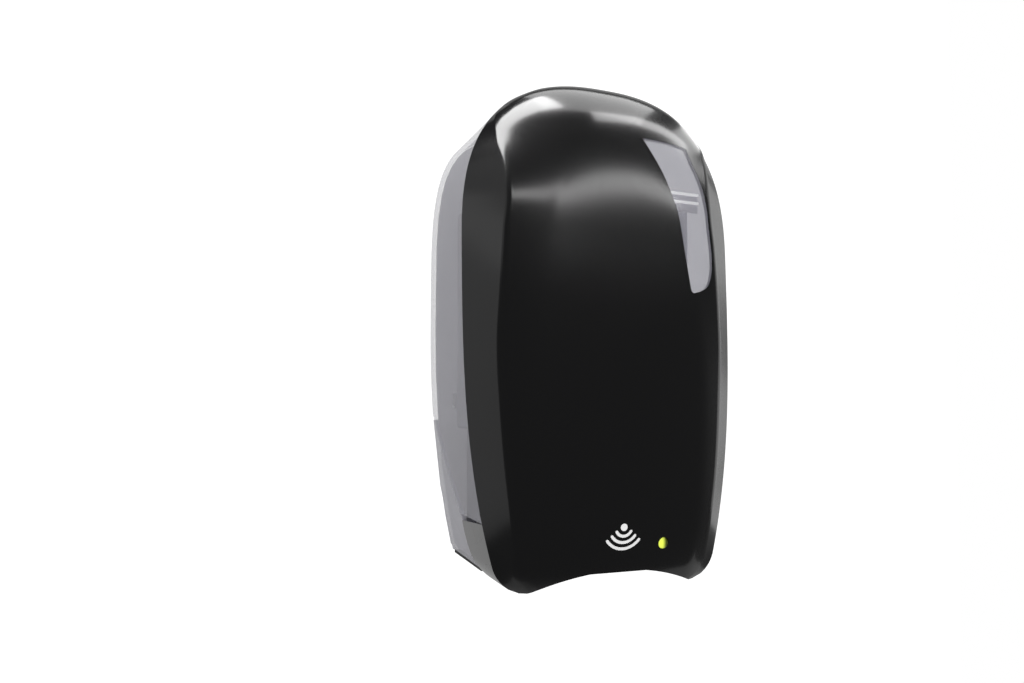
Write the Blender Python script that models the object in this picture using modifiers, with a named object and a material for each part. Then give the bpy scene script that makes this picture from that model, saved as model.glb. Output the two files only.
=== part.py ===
"""Automatic soap dispenser for a wall, modelled as the separate pieces it is built from.

Metres, +Z up. The wall is the plane Y = 0 and the front looks along -Y. X runs to the right as
seen from the front. The origin is the middle of the back plate's wall face.
Places inside are given as x, depth (distance from the wall) and height (above the lowest corner).
"""
import math

import bmesh
import bpy
from mathutils import Matrix, Vector

# Driving sizes of the outer form
BODY_HEIGHT = 0.278
BODY_HALF_WIDTH = 0.0813
BODY_DEPTH = 0.118
BACK_HALF_WIDTH = 0.97540 * BODY_HALF_WIDTH
ARCH_HEIGHT = 0.093
BACK_ARCH_HEIGHT = 0.128
WAIST_INSET = 0.019
BACK_WAIST_INSET = 0.016
CORNER_HEIGHT = 0.014
CORNER_INSET = 0.012
SEAM_FOOT_DEPTH = 0.82627 * BODY_DEPTH
SEAM_CREST_DEPTH = 0.72712 * BODY_DEPTH
CHEEK_WIDTH = 0.015
PANEL_RADIUS = 0.300
CREASE_BLEND = 0.004
ARCH_RISE = 0.0104
ARCH_HALF_SPAN = 0.048

# Clearances shared by all pieces
GAP = 0.0003
SWING_GAP = 0.0008
RUN_GAP = 0.0006
OVERRUN = 0.004

# Walls of the cover and of the back
SKIN_WALL = 0.0024
SHELL_WALL = 0.0022
PLATE_WALL = 0.0030
FLOOR_WALL = 0.0020
WALL_GAP = 0.0008

# Cover hinge, ears and the cut-back corner of the side shell
PIVOT_DEPTH = 0.65254 * BODY_DEPTH
PIVOT_HEIGHT = 0.030
EAR_RADIUS = 0.027
EAR_TOP_HEIGHT = 0.0330
WING_FOOT_HEIGHT = 0.0365
WING_FOOT_DEPTH = 0.41186 * BODY_DEPTH
WING_BACK_HEIGHT = 0.094
PIN_RADIUS = 0.0025
PIN_HEAD_RADIUS = 0.0042
PIN_HEAD_LENGTH = 0.0015
BOSS_RADIUS = 0.0052

# Floor panel under the pump
FLOOR_HEIGHT = 0.0062
FLOOR_DROP = 0.0030
FLOOR_LENGTH = 0.69492 * BODY_DEPTH
FLOOR_FRONT_HALF_WIDTH = 0.66421 * BODY_HALF_WIDTH
FLOOR_STEP_DEPTH = 0.46610 * BODY_DEPTH

# Window, status lens and sensing mark on the front cover
WINDOW_WALL = 0.0020
LENS_X = 0.025
LENS_HEIGHT = 0.0238
LENS_RADIUS = 0.0030
LENS_BACK_DEPTH = 0.83051 * BODY_DEPTH
LENS_FLANGE_RADIUS = 0.0046
LENS_FLANGE_WALL = 0.0014
MARK_HEIGHT = 0.0338
MARK_DOT_RADIUS = 0.0019
MARK_STROKE = 0.0015
MARK_WALL = 0.0003
MARK_RADII = (0.0047, 0.0081, 0.0115)
MARK_SPREADS = (61, 55, 53)

# Inner chassis that carries the pump and the hinge pins
CHASSIS_HALF_WIDTH = 0.68881 * BODY_HALF_WIDTH
CHASSIS_FRONT = 0.71186 * BODY_DEPTH
CHASSIS_FOOT = 0.0088
CHASSIS_TOP = 0.0843
CHASSIS_WALL = 0.0022
POST_RADIUS = 0.0030
POST_INSET = 0.0045

# Tank, its neck, cap and spout
TANK_HALF_WIDTH = 0.81181 * BODY_HALF_WIDTH
TANK_BACK = 0.0072
TANK_FRONT = 0.67797 * BODY_DEPTH
TANK_HEAD_ROOM = 0.0111
TANK_WALL = 0.0020
TANK_CORNER = 0.0120
NECK_RIM = 0.0030
NECK_WALL = 0.0025
NECK_HEIGHT = 0.0100
CAP_SHARE = 0.42056
CAP_SETBACK = 0.0020
CAP_WALL = 0.0020
CAP_HEIGHT = 0.0120
CAP_GRIP_HEIGHT = 0.0030
CAP_GRIP_WIDTH = 0.0040
SEAL_WALL = 0.0010
SPOUT_X = 0.014
SPOUT_RADIUS = 0.0048
SPOUT_FLANGE_RIM = 0.0017
SPOUT_BORE = 0.0016
SPOUT_FLANGE_WALL = 0.0015
SPOUT_LENGTH = 0.0070

# Peristaltic pump
PUMP_X = -0.012
PUMP_HEIGHT = 0.048
PUMP_DEPTH = 0.60169 * BODY_DEPTH
TUBE_RADIUS = 0.0030
LOOP_RADIUS = 0.0150
OUTLET_BEND = 0.0090
PUMP_BACK = 0.52373 * BODY_DEPTH
PUMP_BACK_WALL = 0.0018
PUMP_RIM_WALL = 0.0022
PUMP_FRONT = 0.66102 * BODY_DEPTH
PUMP_SIDE_REACH = 0.0205
PUMP_COVER_WALL = 0.0020
ROLLER_RADIUS = 0.0040
ROLLER_COUNT = 3
ROLLER_PIN_RADIUS = 0.0010
ROTOR_PLATE_RADIUS = 0.0105
ROTOR_PLATE_WALL = 0.0016
ROTOR_HUB_RADIUS = 0.0030
ROTOR_SHAFT_RADIUS = 0.0026

# Gear train between the motor and the rotor
GEAR_MODULE = 0.0008
PINION_TEETH = 10
LARGE_TEETH = 36
SMALL_TEETH = 12
OUTPUT_TEETH = 40
GEAR_SLACK = 0.00025
COMPOUND_ANGLE = math.radians(-15)
PINION_ANGLE = math.radians(-20)
GEAR_FACE_SHARE = 0.27907
GEAR_AXLE_RADIUS = 0.0012
CASE_BACK = 0.37288 * BODY_DEPTH
CASE_FRONT = 0.51864 * BODY_DEPTH
CASE_WALL = 0.0018
CASE_CORNER = 0.0060
CASE_MARGIN = 0.0040

# Motor
MOTOR_LENGTH = 0.0250
MOTOR_RADIUS = 0.0100
MOTOR_FLAT_HALF_HEIGHT = 0.0075
MOTOR_CAP_LENGTH = 0.0035
MOTOR_SHAFT_RADIUS = 0.0010
MOTOR_BOSS_RADIUS = 0.0030
MOTOR_BORE = 0.0040

# Nozzle
NOZZLE_RADIUS = 0.0060
NOZZLE_FLANGE_RADIUS = 0.0085
NOZZLE_FLANGE_WALL = 0.0015
NOZZLE_TIP_HEIGHT = 0.0036
NOZZLE_TOP_HEIGHT = 0.0150
NOZZLE_BORE = 0.0034
VALVE_RADIUS = 0.0030
VALVE_LIP = 0.0006

# Control board and what is on it
BOARD_BACK = 0.55932 * BODY_DEPTH
BOARD_WALL = 0.0016
BOARD_LEFT = 0.0190
BOARD_RIGHT = 0.62731 * BODY_HALF_WIDTH
BOARD_FOOT = 0.0150
BOARD_TOP = 0.0770
BOARD_POST_RADIUS = 0.0024
BOARD_POST_INSET = 0.0030
PEG_RADIUS = 0.0011
SWITCH_LEVEL = 0.0520
SWITCH_SHARES = {"power": 0.25, "dose": 0.71875}
SWITCH_WIDTH_SHARE = 0.3125
SWITCH_HEIGHT = 0.0056
SWITCH_DEPTH = 0.0048
SWITCH_TRAVEL = 0.0020
KNOB_WIDTH = 0.0030
KNOB_HEIGHT = 0.0024
KNOB_REACH = 0.0036
CHIP_SIZE = 0.0080
CHIP_WALL = 0.0014
PLUG_WIDTH = 0.0080
PLUG_HEIGHT = 0.0050
PLUG_DEPTH = 0.0060
LIGHT_RADIUS = 0.0025
LIGHT_LENGTH = 0.0060

# Sensor pair that looks down at the hand
SENSOR_DEPTH = 0.42373 * BODY_DEPTH
SENSOR_SPACING = 0.0160
SENSOR_RADIUS = 0.0025
SENSOR_LENGTH = 0.0056
SENSOR_LIFT = 0.0012
HOLDER_HALF_WIDTH = 0.0150
HOLDER_HALF_DEPTH = 0.0055
HOLDER_HEIGHT = 0.0070
SENSOR_WINDOW_HALF_WIDTH = 0.0130
SENSOR_WINDOW_HALF_DEPTH = 0.0040

# Battery box with four AA cells
CELL_RADIUS = 0.00725
CELL_LENGTH = 0.0495
CELL_TIP_RADIUS = 0.0027
CELL_TIP_LENGTH = 0.0010
CELL_SPACING = 0.0003
CROWN_ROOM = 0.0480
BOX_WALL = 0.0016
BOX_END_ROOM = 0.0015
CONTACT_WALL = 0.0006
DOOR_WALL = 0.0018
DOOR_TRAVEL = 0.0060

# Latch at the top
LATCH_DEPTH = 0.0085
TONGUE_HALF_WIDTH = 0.0050
TONGUE_BACK = 0.0056
TONGUE_FRONT = 0.0130
TONGUE_HEIGHT = 0.0050
NOSE_WALL = 0.0030
NOSE_HEIGHT = 0.0022
LATCH_TRAVEL = 0.0022
GUIDE_WALL = 0.0016
SPRING_RADIUS = 0.0020
SPRING_WIRE = 0.0003
SPRING_TURNS = 4
SPRING_LENGTH = 0.0052
SPRING_POINTS = 10
CATCH_HALF_WIDTH = 0.0080
CATCH_WALL = 0.0026
CATCH_HEIGHT = 0.0040
KEY_HOLE_RADIUS = 0.0018

# Side catches that hold shell and skin together
SIDE_CATCH_HEIGHT = 0.101
SIDE_CATCH_DEPTH = 0.45763 * BODY_DEPTH
SIDE_CATCH_LENGTH = 0.0056
SIDE_CATCH_RISE = 0.0086
SIDE_CATCH_WALL = 0.0016

# Screws and leads
WALL_SCREW_X = 0.0450
WALL_SCREW_FOOT = 0.105
WALL_SCREW_DROP = 0.058
WALL_SCREW_RADIUS = 0.0021
WALL_SCREW_HEAD_RADIUS = 0.0042
WALL_SCREW_HEAD = 0.0024
LEAD_RADIUS = 0.0006

# Shares that shape the outer form: share of the body's height, then share of the second size
FACE_SHARES = ((0.0, 0.890), (0.043, 0.936), (0.108, 0.975), (0.198, 0.996), (0.360, 1.0),
               (0.540, 0.992), (0.684, 0.970), (0.828, 0.949), (1.0, 0.932))
CHEEK_SHARES = ((0.0, 0.467), (0.054, 0.667), (0.122, 0.867), (0.234, 0.96), (0.342, 1.0),
                (0.468, 1.0), (0.565, 1.133), (0.680, 1.293), (0.737, 1.367), (0.799, 1.153),
                (0.860, 0.627), (0.921, 0.04), (1.0, 0.02))
CREASE_SHARES = ((0.0, 0.566), (0.216, 0.603), (0.432, 0.615), (0.540, 0.584), (0.619, 0.553),
                 (0.677, 0.529), (0.734, 0.480), (0.774, 0.424), (0.817, 0.357), (0.868, 0.271),
                 (0.893, 0.209), (1.0, 0.180))
WINDOW_SHARES = ((0.189, 0.883), (0.390, 0.886), (0.565, 0.885), (0.590, 0.879), (0.627, 0.854),
                 (0.686, 0.813), (0.712, 0.769), (0.722, 0.717), (0.740, 0.662), (0.735, 0.629),
                 (0.711, 0.605), (0.673, 0.591), (0.600, 0.581), (0.548, 0.577), (0.532, 0.580),
                 (0.525, 0.588), (0.496, 0.642), (0.451, 0.728), (0.408, 0.767), (0.338, 0.814),
                 (0.242, 0.860))
LOW_ROW_SHARES = (0.0, 0.003, 0.010, 0.024, 0.045, 0.075, 0.115, 0.160, 0.230, 0.310, 0.390, 0.470,
                  0.540, 0.600)
ARCH_ROWS = 11
ARCH_POWER = 2.6
BACK_ARCH_POWER = 4.2
WAIST_POWER = 3.0
BACK_WAIST_POWER = 2.2
CREASE_SLOPE = 0.25
DOME_POWER = 3.8
DOME_FADE_SHARE = 0.19
COVER_OPENING = math.radians(45)

# Sizes that follow from the ones above
ORIGIN_HEIGHT = BODY_HEIGHT / 2
ARCH_START = BODY_HEIGHT - ARCH_HEIGHT
BACK_ARCH_START = BODY_HEIGHT - BACK_ARCH_HEIGHT
WALL_SCREW_HEIGHTS = (WALL_SCREW_FOOT, BODY_HEIGHT - WALL_SCREW_DROP)
BOARD_WIDTH = BOARD_RIGHT - BOARD_LEFT
SWITCH_WIDTH = SWITCH_WIDTH_SHARE * BOARD_WIDTH
GEAR_FACE = GEAR_FACE_SHARE * (CASE_FRONT - CASE_BACK)
BOX_FOOT = BODY_HEIGHT - CROWN_ROOM
TANK_HEIGHT = BOX_FOOT - TANK_HEAD_ROOM - CHASSIS_TOP - 2 * GAP
CELL_ROW_BACK = PLATE_WALL + 2 * GAP + BOX_WALL + GAP + CELL_RADIUS
CELL_ROW_STEP = 2 * CELL_RADIUS + CELL_SPACING
CELL_HEIGHT = BOX_FOOT + BOX_WALL + GAP + CELL_RADIUS
BOX_BACK = PLATE_WALL + 2 * GAP
BOX_FRONT = CELL_ROW_BACK + CELL_ROW_STEP + CELL_RADIUS + GAP
BOX_TOP = CELL_HEIGHT + CELL_RADIUS + GAP + BOX_WALL
CAP_RADIUS = CAP_SHARE * (TANK_FRONT - BOX_FRONT - GAP - DOOR_WALL)
NECK_DEPTH = TANK_FRONT - CAP_SETBACK - CAP_RADIUS
NECK_RADIUS = CAP_RADIUS - NECK_RIM
NECK_BORE = NECK_RADIUS - NECK_WALL
FRONT_VIEW = Matrix(((1, 0, 0), (0, 0, -1), (0, 1, 0))).to_4x4()
SIDE_VIEW = Matrix(((0, 0, -1), (-1, 0, 0), (0, 1, 0))).to_4x4()
TOP_VIEW = Matrix.Identity(4)

for leftover in list(bpy.data.objects):
    bpy.data.objects.remove(leftover, do_unlink=True)


def new_collection(name):
    collection = bpy.data.collections.new(name)
    bpy.context.scene.collection.children.link(collection)
    return collection


PARTS = new_collection("soap_dispenser")
CUTTERS = new_collection("cutters")


# Places and the outer form

def place(x, depth, height):
    """World point of a place given as x, distance from the wall and height above the foot."""
    return Vector((x, -depth, height - ORIGIN_HEIGHT))


def smooth_share(table, share):
    """Value of a table of shares, read along a smooth curve through its points."""
    if share <= table[0][0]:
        return table[0][1]
    if share >= table[-1][0]:
        return table[-1][1]
    index = next(i for i in range(len(table) - 1) if share <= table[i + 1][0])

    def slope(i):
        before = table[max(i - 1, 0)]
        after = table[min(i + 1, len(table) - 1)]
        return (after[1] - before[1]) / (after[0] - before[0])

    (start, low), (end, high) = table[index], table[index + 1]
    span = end - start
    t = (share - start) / span
    return ((2 * t ** 3 - 3 * t ** 2 + 1) * low + (t ** 3 - 2 * t ** 2 + t) * span * slope(index)
            + (3 * t ** 2 - 2 * t ** 3) * high + (t ** 3 - t ** 2) * span * slope(index + 1))


def arch(share, power):
    return max(0.0, 1 - min(share, 1.0) ** power) ** (1 / power)


def corner_inset(height):
    share = min(1.0, max(0.0, 1 - height / CORNER_HEIGHT))
    return CORNER_INSET * (1 - math.sqrt(1 - share ** 2))


def seam_half_width(height):
    """Half width of the outline where the black cover meets the clear shell."""
    if height >= ARCH_START:
        return BODY_HALF_WIDTH * arch((height - ARCH_START) / (BODY_HEIGHT - ARCH_START), ARCH_POWER)
    waist = WAIST_INSET * (1 - height / ARCH_START) ** WAIST_POWER
    return BODY_HALF_WIDTH - waist - corner_inset(height)


def back_half_width(height):
    """Half width of the outline that lies against the wall."""
    if height >= BACK_ARCH_START:
        share = (height - BACK_ARCH_START) / (BODY_HEIGHT - BACK_ARCH_START)
        return BACK_HALF_WIDTH * arch(share, BACK_ARCH_POWER)
    waist = BACK_WAIST_INSET * (1 - height / BACK_ARCH_START) ** BACK_WAIST_POWER
    return BACK_HALF_WIDTH - waist - corner_inset(height)


def seam_depth(height):
    share = height / BODY_HEIGHT
    return SEAM_FOOT_DEPTH + (SEAM_CREST_DEPTH - SEAM_FOOT_DEPTH) * share


def side_half_width(height, depth):
    share = depth / seam_depth(height)
    return back_half_width(height) * (1 - share) + seam_half_width(height) * share


def crease_fall(over):
    """Fall of the front beyond the crease, with a short soft bend at the crease itself."""
    if over <= -CREASE_BLEND:
        return 0.0
    if over >= CREASE_BLEND:
        return CREASE_SLOPE * over
    return CREASE_SLOPE * (over + CREASE_BLEND) ** 2 / (4 * CREASE_BLEND)


def crease_half_width(height):
    return BODY_HALF_WIDTH * smooth_share(CREASE_SHARES, height / BODY_HEIGHT)


def fold_half_width(height):
    cheek = CHEEK_WIDTH * smooth_share(CHEEK_SHARES, height / BODY_HEIGHT)
    return max(seam_half_width(height) - cheek, 0.0)


def front_depth(x, height):
    """Distance of the front from the wall, between the two folds."""
    x = abs(x)
    face = BODY_DEPTH * smooth_share(FACE_SHARES, height / BODY_HEIGHT)
    depth = face - x ** 2 / (2 * PANEL_RADIUS) - crease_fall(x - crease_half_width(height))
    rise = max(0.0, (height - ARCH_START) / (BODY_HEIGHT - ARCH_START))
    reach = min(1.0, ((x / BODY_HALF_WIDTH) ** ARCH_POWER + rise ** ARCH_POWER) ** (1 / ARCH_POWER))
    fade = min(1.0, max(0.0, 1 - (ARCH_START - height) / (DOME_FADE_SHARE * ARCH_START)))
    seam = seam_depth(height)
    return seam + (depth - seam) * math.sqrt(max(0.0, 1 - (reach * fade) ** DOME_POWER))


def row_heights(lowest):
    """Heights of the rows that span the outer form, closer together up the arch."""
    rows = [BODY_HEIGHT * share for share in LOW_ROW_SHARES if BODY_HEIGHT * share > lowest]
    top = BODY_HEIGHT - rows[-1]
    for step in range(1, ARCH_ROWS + 1):
        rows.append(rows[-1 - (step - 1)] + top * math.sin(math.pi / 2 * step / ARCH_ROWS) ** 0.8)
    return [lowest] + rows


# Small modelling helpers

def finish(obj, colour, roughness, metallic=0.0):
    """Give an object its own plain material and put it among the parts."""
    material = bpy.data.materials.new(obj.name + "_finish")
    material.use_nodes = True
    shader = material.node_tree.nodes["Principled BSDF"]
    shader.inputs["Base Color"].default_value = (*colour, 1)
    shader.inputs["Roughness"].default_value = roughness
    shader.inputs["Metallic"].default_value = metallic
    obj.data.materials.clear()
    obj.data.materials.append(material)
    move_to(obj, PARTS)
    return obj


def move_to(obj, collection):
    for owner in list(obj.users_collection):
        owner.objects.unlink(obj)
    collection.objects.link(obj)


def link_mesh(name, mesh):
    obj = bpy.data.objects.new(name, mesh)
    PARTS.objects.link(obj)
    return obj


def box(name, low, high):
    """A box between two places, with its origin at its middle."""
    start = place(*low)
    end = place(*high)
    bpy.ops.mesh.primitive_cube_add(size=1, location=(start + end) / 2)
    obj = bpy.context.object
    obj.name = name
    size = end - start
    obj.data.transform(Matrix.Diagonal((abs(size.x), abs(size.y), abs(size.z), 1)))
    return obj


def rod(name, start, end, radius, sides=24):
    """A round bar between two places."""
    first = place(*start)
    last = place(*end)
    along = last - first
    bpy.ops.mesh.primitive_cylinder_add(vertices=sides, radius=radius, depth=along.length,
                                        location=(first + last) / 2)
    obj = bpy.context.object
    obj.name = name
    obj.data.transform(along.to_track_quat("Z", "Y").to_matrix().to_4x4())
    obj.data.shade_smooth()
    obj.data.set_sharp_from_angle(angle=math.radians(35))
    return obj


def turned(name, base, direction, profile, sides=32):
    """A turned solid: profile of (radius, distance along the axis) from its far end to its base."""
    mesh = bpy.data.meshes.new(name)
    points = [(radius, 0, along) for radius, along in profile]
    mesh.from_pydata(points, [(i, i + 1) for i in range(len(points) - 1)], [])
    obj = link_mesh(name, mesh)
    screw = obj.modifiers.new("turn", "SCREW")
    screw.steps = sides
    screw.render_steps = sides
    screw.use_merge_vertices = True
    screw.merge_threshold = 0.00001
    obj.location = place(*base)
    obj.rotation_euler = Vector(direction).to_track_quat("Z", "Y").to_euler()
    return obj


def outline(name, loops, thickness, view, start):
    """A flat outline with holes, as thick as given, that starts at a place and grows along the
    view's own third axis."""
    curve = bpy.data.curves.new(name, "CURVE")
    curve.dimensions = "2D"
    curve.fill_mode = "BOTH"
    curve.extrude = thickness / 2
    for loop in loops:
        spline = curve.splines.new("POLY")
        spline.points.add(len(loop) - 1)
        for point, (across, up) in zip(spline.points, loop):
            point.co = (across, up, 0, 1)
        spline.use_cyclic_u = True
    guide = bpy.data.objects.new(name, curve)
    bpy.context.scene.collection.objects.link(guide)
    guide.matrix_world = Matrix.Translation(start) @ view @ Matrix.Translation((0, 0, thickness / 2))
    return curve_to_mesh(guide)


def curve_to_mesh(guide):
    """Turn a curve object into a welded mesh object of the same name and place."""
    bpy.context.view_layer.update()
    evaluated = guide.evaluated_get(bpy.context.evaluated_depsgraph_get())
    mesh = bpy.data.meshes.new_from_object(evaluated)
    name = guide.name
    matrix = guide.matrix_world.copy()
    bpy.data.objects.remove(guide)
    weld(mesh)
    mesh.name = name
    obj = link_mesh(name, mesh)
    obj.matrix_world = matrix
    return obj


def weld(mesh):
    shape = bmesh.new()
    shape.from_mesh(mesh)
    bmesh.ops.remove_doubles(shape, verts=shape.verts, dist=0.000001)
    shape.to_mesh(mesh)
    shape.free()


def tube(name, places, radius, resolution=2):
    """A round tube along places, as a curve with filled ends."""
    curve = bpy.data.curves.new(name, "CURVE")
    curve.dimensions = "3D"
    curve.bevel_depth = radius
    curve.bevel_resolution = resolution
    curve.use_fill_caps = True
    spline = curve.splines.new("POLY")
    spline.points.add(len(places) - 1)
    for point, where in zip(spline.points, places):
        point.co = (*place(*where), 1)
    obj = bpy.data.objects.new(name, curve)
    PARTS.objects.link(obj)
    return obj


def shape_with(target, tool, operation):
    """Cut, keep or join with a tool, which stays among the cutters."""
    move_to(tool, CUTTERS)
    tool.hide_render = True
    tool.display_type = "WIRE"
    modifier = target.modifiers.new(operation.lower(), "BOOLEAN")
    modifier.operation = operation
    modifier.solver = "EXACT"
    modifier.object = tool
    return target


def cut(target, tool):
    return shape_with(target, tool, "DIFFERENCE")


def join(target, tool):
    return shape_with(target, tool, "UNION")


def keep(target, tool):
    return shape_with(target, tool, "INTERSECT")


def arc(centre, radius, first, last, steps):
    """Points along an arc, with angles in degrees."""
    points = []
    for step in range(steps + 1):
        angle = math.radians(first + (last - first) * step / steps)
        points.append((centre[0] + radius * math.cos(angle), centre[1] + radius * math.sin(angle)))
    return points


def rounded_rectangle(low, high, radius, steps=4):
    centres = ((high[0] - radius, high[1] - radius), (low[0] + radius, high[1] - radius),
               (low[0] + radius, low[1] + radius), (high[0] - radius, low[1] + radius))
    points = []
    for quarter, centre in enumerate(centres):
        points += arc(centre, radius, 90 * quarter, 90 * quarter + 90, steps)
    return points


def circle(centre, radius, steps=24):
    return arc(centre, radius, 0, 360, steps)[:-1]


def inset_loop(points, distance):
    """A closed outline moved inwards by a distance; the outline runs clockwise."""
    moved = []
    for index, point in enumerate(points):
        before = Vector(points[index - 1])
        here = Vector(point)
        after = Vector(points[(index + 1) % len(points)])
        first = (here - before).normalized()
        second = (after - here).normalized()
        middle = (first + second).normalized()
        inwards = Vector((middle.y, -middle.x))
        moved.append(tuple(here + inwards * distance / max(first.dot(middle), 0.5)))
    return moved


def surface(name, rows):
    """An open surface from rows of places. Rows run up, and each row runs from the side inwards."""
    mesh = bpy.data.meshes.new(name)
    width = len(rows[0])
    points = [place(*where) for row in rows for where in row]
    faces = []
    for r in range(len(rows) - 1):
        for c in range(width - 1):
            start = r * width + c
            faces.append((start, start + width, start + width + 1, start + 1))
    mesh.from_pydata(points, [], faces)
    weld(mesh)
    return link_mesh(name, mesh)


def closed_body(name, rows):
    """A closed body whose right half is given as rows of places, from the rear to the middle."""
    mesh = bpy.data.meshes.new(name)
    loops = [row + [(-x, depth, height) for x, depth, height in reversed(row[:-1])] for row in rows]
    width = len(loops[0])
    points = [place(*where) for loop in loops for where in loop]
    faces = [tuple(range(width))]
    for r in range(len(loops) - 1):
        for c in range(width):
            after = (c + 1) % width
            start = r * width
            faces.append((start + c, start + width + c, start + width + after, start + after))
    mesh.from_pydata(points, [], faces)
    weld(mesh)
    return link_mesh(name, mesh)


def hollow_body(name, rows, wall):
    """The closed body less a copy of itself that is drawn in by the wall on every side."""
    body = closed_body(name, rows)
    across = 1 - wall / BODY_HALF_WIDTH
    forward = 1 - wall / BODY_DEPTH
    upward = 1 - wall / BODY_HEIGHT
    inner = [[(x * across, depth * forward, height * upward) for x, depth, height in row]
             for row in rows]
    cut(body, closed_body(name + "_room", inner))
    return body


def add_wall(obj, wall):
    solidify = obj.modifiers.new("wall", "SOLIDIFY")
    solidify.thickness = wall
    solidify.offset = -1
    solidify.use_even_offset = True


def side_prism(name, loop, half_width=BODY_HALF_WIDTH + OVERRUN):
    """A side outline of (depth, height) points, as wide as the whole body."""
    start = place(half_width, 0, 0)
    return outline(name, [loop], 2 * half_width, SIDE_VIEW, start)


def front_prism(name, loops, back, front):
    """A front outline of (x, height) points between two distances from the wall."""
    return outline(name, loops, front - back, FRONT_VIEW, place(0, back, 0))


def pivot_arc(radius, first, last, steps=12):
    return arc((PIVOT_DEPTH, PIVOT_HEIGHT), radius, first, last, steps)


# Cover

def cover_row(height):
    """Right half of one row of the black cover, from its rear edge to the middle of the front."""
    seam = seam_depth(height)
    rear = PIVOT_DEPTH - EAR_RADIUS - OVERRUN
    fold = fold_half_width(height)
    crease = min(crease_half_width(height), fold / 2)
    row = []
    for depth in (rear, (rear + seam) / 2, seam):
        row.append((side_half_width(height, depth), depth, height))
    across = (fold, (fold + crease) / 2, crease + CREASE_BLEND * fold / BODY_HALF_WIDTH,
              crease, crease * 2 / 3, crease / 3, 0.0)
    for x in across:
        row.append((x, front_depth(x, height), height))
    return row


def cover_outline():
    """Side outline of the black cover: its seam, the ear top, the round ear and the front."""
    far = BODY_DEPTH + OVERRUN
    above = BODY_HEIGHT + OVERRUN
    ear_start = math.degrees(math.acos(-math.sqrt(1 - ((EAR_TOP_HEIGHT - PIVOT_HEIGHT) / EAR_RADIUS) ** 2)))
    loop = [(far, above), (seam_depth(above), above), (seam_depth(EAR_TOP_HEIGHT), EAR_TOP_HEIGHT)]
    loop += pivot_arc(EAR_RADIUS, ear_start, 270)
    loop += [(SEAM_FOOT_DEPTH, 0.0), (far, 0.0)]
    return loop


def window_loop():
    return [(BODY_HALF_WIDTH * x, BODY_HEIGHT * height) for x, height in WINDOW_SHARES]


def make_front_cover():
    rows = [cover_row(height) for height in row_heights(-OVERRUN)]
    cover = hollow_body("front_cover", rows, SKIN_WALL)
    keep(cover, side_prism("cover_side", cover_outline()))
    drop = -2 * OVERRUN
    span = [(x * ARCH_HALF_SPAN / 8, ARCH_RISE * (1 - (x / 8) ** 2)) for x in range(-8, 9)]
    loop = [(-ARCH_HALF_SPAN, drop)] + span + [(ARCH_HALF_SPAN, drop)]
    cut(cover, front_prism("arch_cut", [loop], SEAM_CREST_DEPTH, BODY_DEPTH + OVERRUN))
    cut(cover, front_prism("window_cut", [window_loop()], SEAM_CREST_DEPTH, BODY_DEPTH + OVERRUN))
    cut(cover, rod("lens_cut", (LENS_X, LENS_BACK_DEPTH, LENS_HEIGHT),
                   (LENS_X, BODY_DEPTH + OVERRUN, LENS_HEIGHT), LENS_RADIUS + GAP))
    wall = side_half_width(PIVOT_HEIGHT, PIVOT_DEPTH) - SKIN_WALL / 2
    inner = CHASSIS_HALF_WIDTH + SWING_GAP
    for side in (-1, 1):
        join(cover, rod("hinge_boss", (side * inner, PIVOT_DEPTH, PIVOT_HEIGHT),
                        (side * wall, PIVOT_DEPTH, PIVOT_HEIGHT), BOSS_RADIUS))
        cut(cover, rod("hinge_bore", (side * (inner - OVERRUN), PIVOT_DEPTH, PIVOT_HEIGHT),
                       (side * (wall - SKIN_WALL), PIVOT_DEPTH, PIVOT_HEIGHT), PIN_RADIUS + GAP))
    return finish(cover, (0.012, 0.012, 0.013), 0.18)


def shell_row(height):
    """Right half of one row of the clear shell, closed off flat in front of the seam."""
    seam = seam_depth(height)
    depths = [-OVERRUN, seam / 4, seam / 2, seam * 3 / 4, seam, seam + OVERRUN]
    row = [(side_half_width(height, depth), depth, height) for depth in depths]
    return row + [(0.0, seam + OVERRUN, height)]


def make_side_shell():
    lowest = WING_FOOT_HEIGHT - OVERRUN
    shell = hollow_body("side_shell", [shell_row(height) for height in row_heights(lowest)], SHELL_WALL)
    above = BODY_HEIGHT + OVERRUN
    loop = [(WALL_GAP, above), (WALL_GAP, WING_BACK_HEIGHT), (WING_FOOT_DEPTH, WING_FOOT_HEIGHT),
            (seam_depth(WING_FOOT_HEIGHT) - GAP, WING_FOOT_HEIGHT), (seam_depth(above) - GAP, above)]
    keep(shell, side_prism("shell_side", loop))
    nose = TONGUE_FRONT - NOSE_WALL / 2
    cut(shell, rod("key_hole", (0, nose, BODY_HEIGHT - SHELL_WALL - OVERRUN),
                   (0, nose, BODY_HEIGHT + OVERRUN), KEY_HOLE_RADIUS, 16))
    for side in (-1, 1):
        outer = side_half_width(SIDE_CATCH_HEIGHT, SIDE_CATCH_DEPTH) - SHELL_WALL / 2
        join(shell, box("side_catch",
                        (side * (outer - SHELL_WALL / 2 - SIDE_CATCH_WALL),
                         SIDE_CATCH_DEPTH - SIDE_CATCH_LENGTH / 2,
                         SIDE_CATCH_HEIGHT - SIDE_CATCH_RISE / 2),
                        (side * outer, SIDE_CATCH_DEPTH + SIDE_CATCH_LENGTH / 2,
                         SIDE_CATCH_HEIGHT + SIDE_CATCH_RISE / 2)))
    join(shell, box("latch_catch",
                    (-CATCH_HALF_WIDTH, LATCH_DEPTH - CATCH_WALL / 2, catch_foot()),
                    (CATCH_HALF_WIDTH, LATCH_DEPTH + CATCH_WALL / 2, BODY_HEIGHT - SHELL_WALL / 2)))
    return finish(shell, (0.42, 0.42, 0.46), 0.25)


def catch_foot():
    """Lower edge of the catch that hangs from the top of the shell."""
    return BODY_HEIGHT - SHELL_WALL - CATCH_HEIGHT


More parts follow.
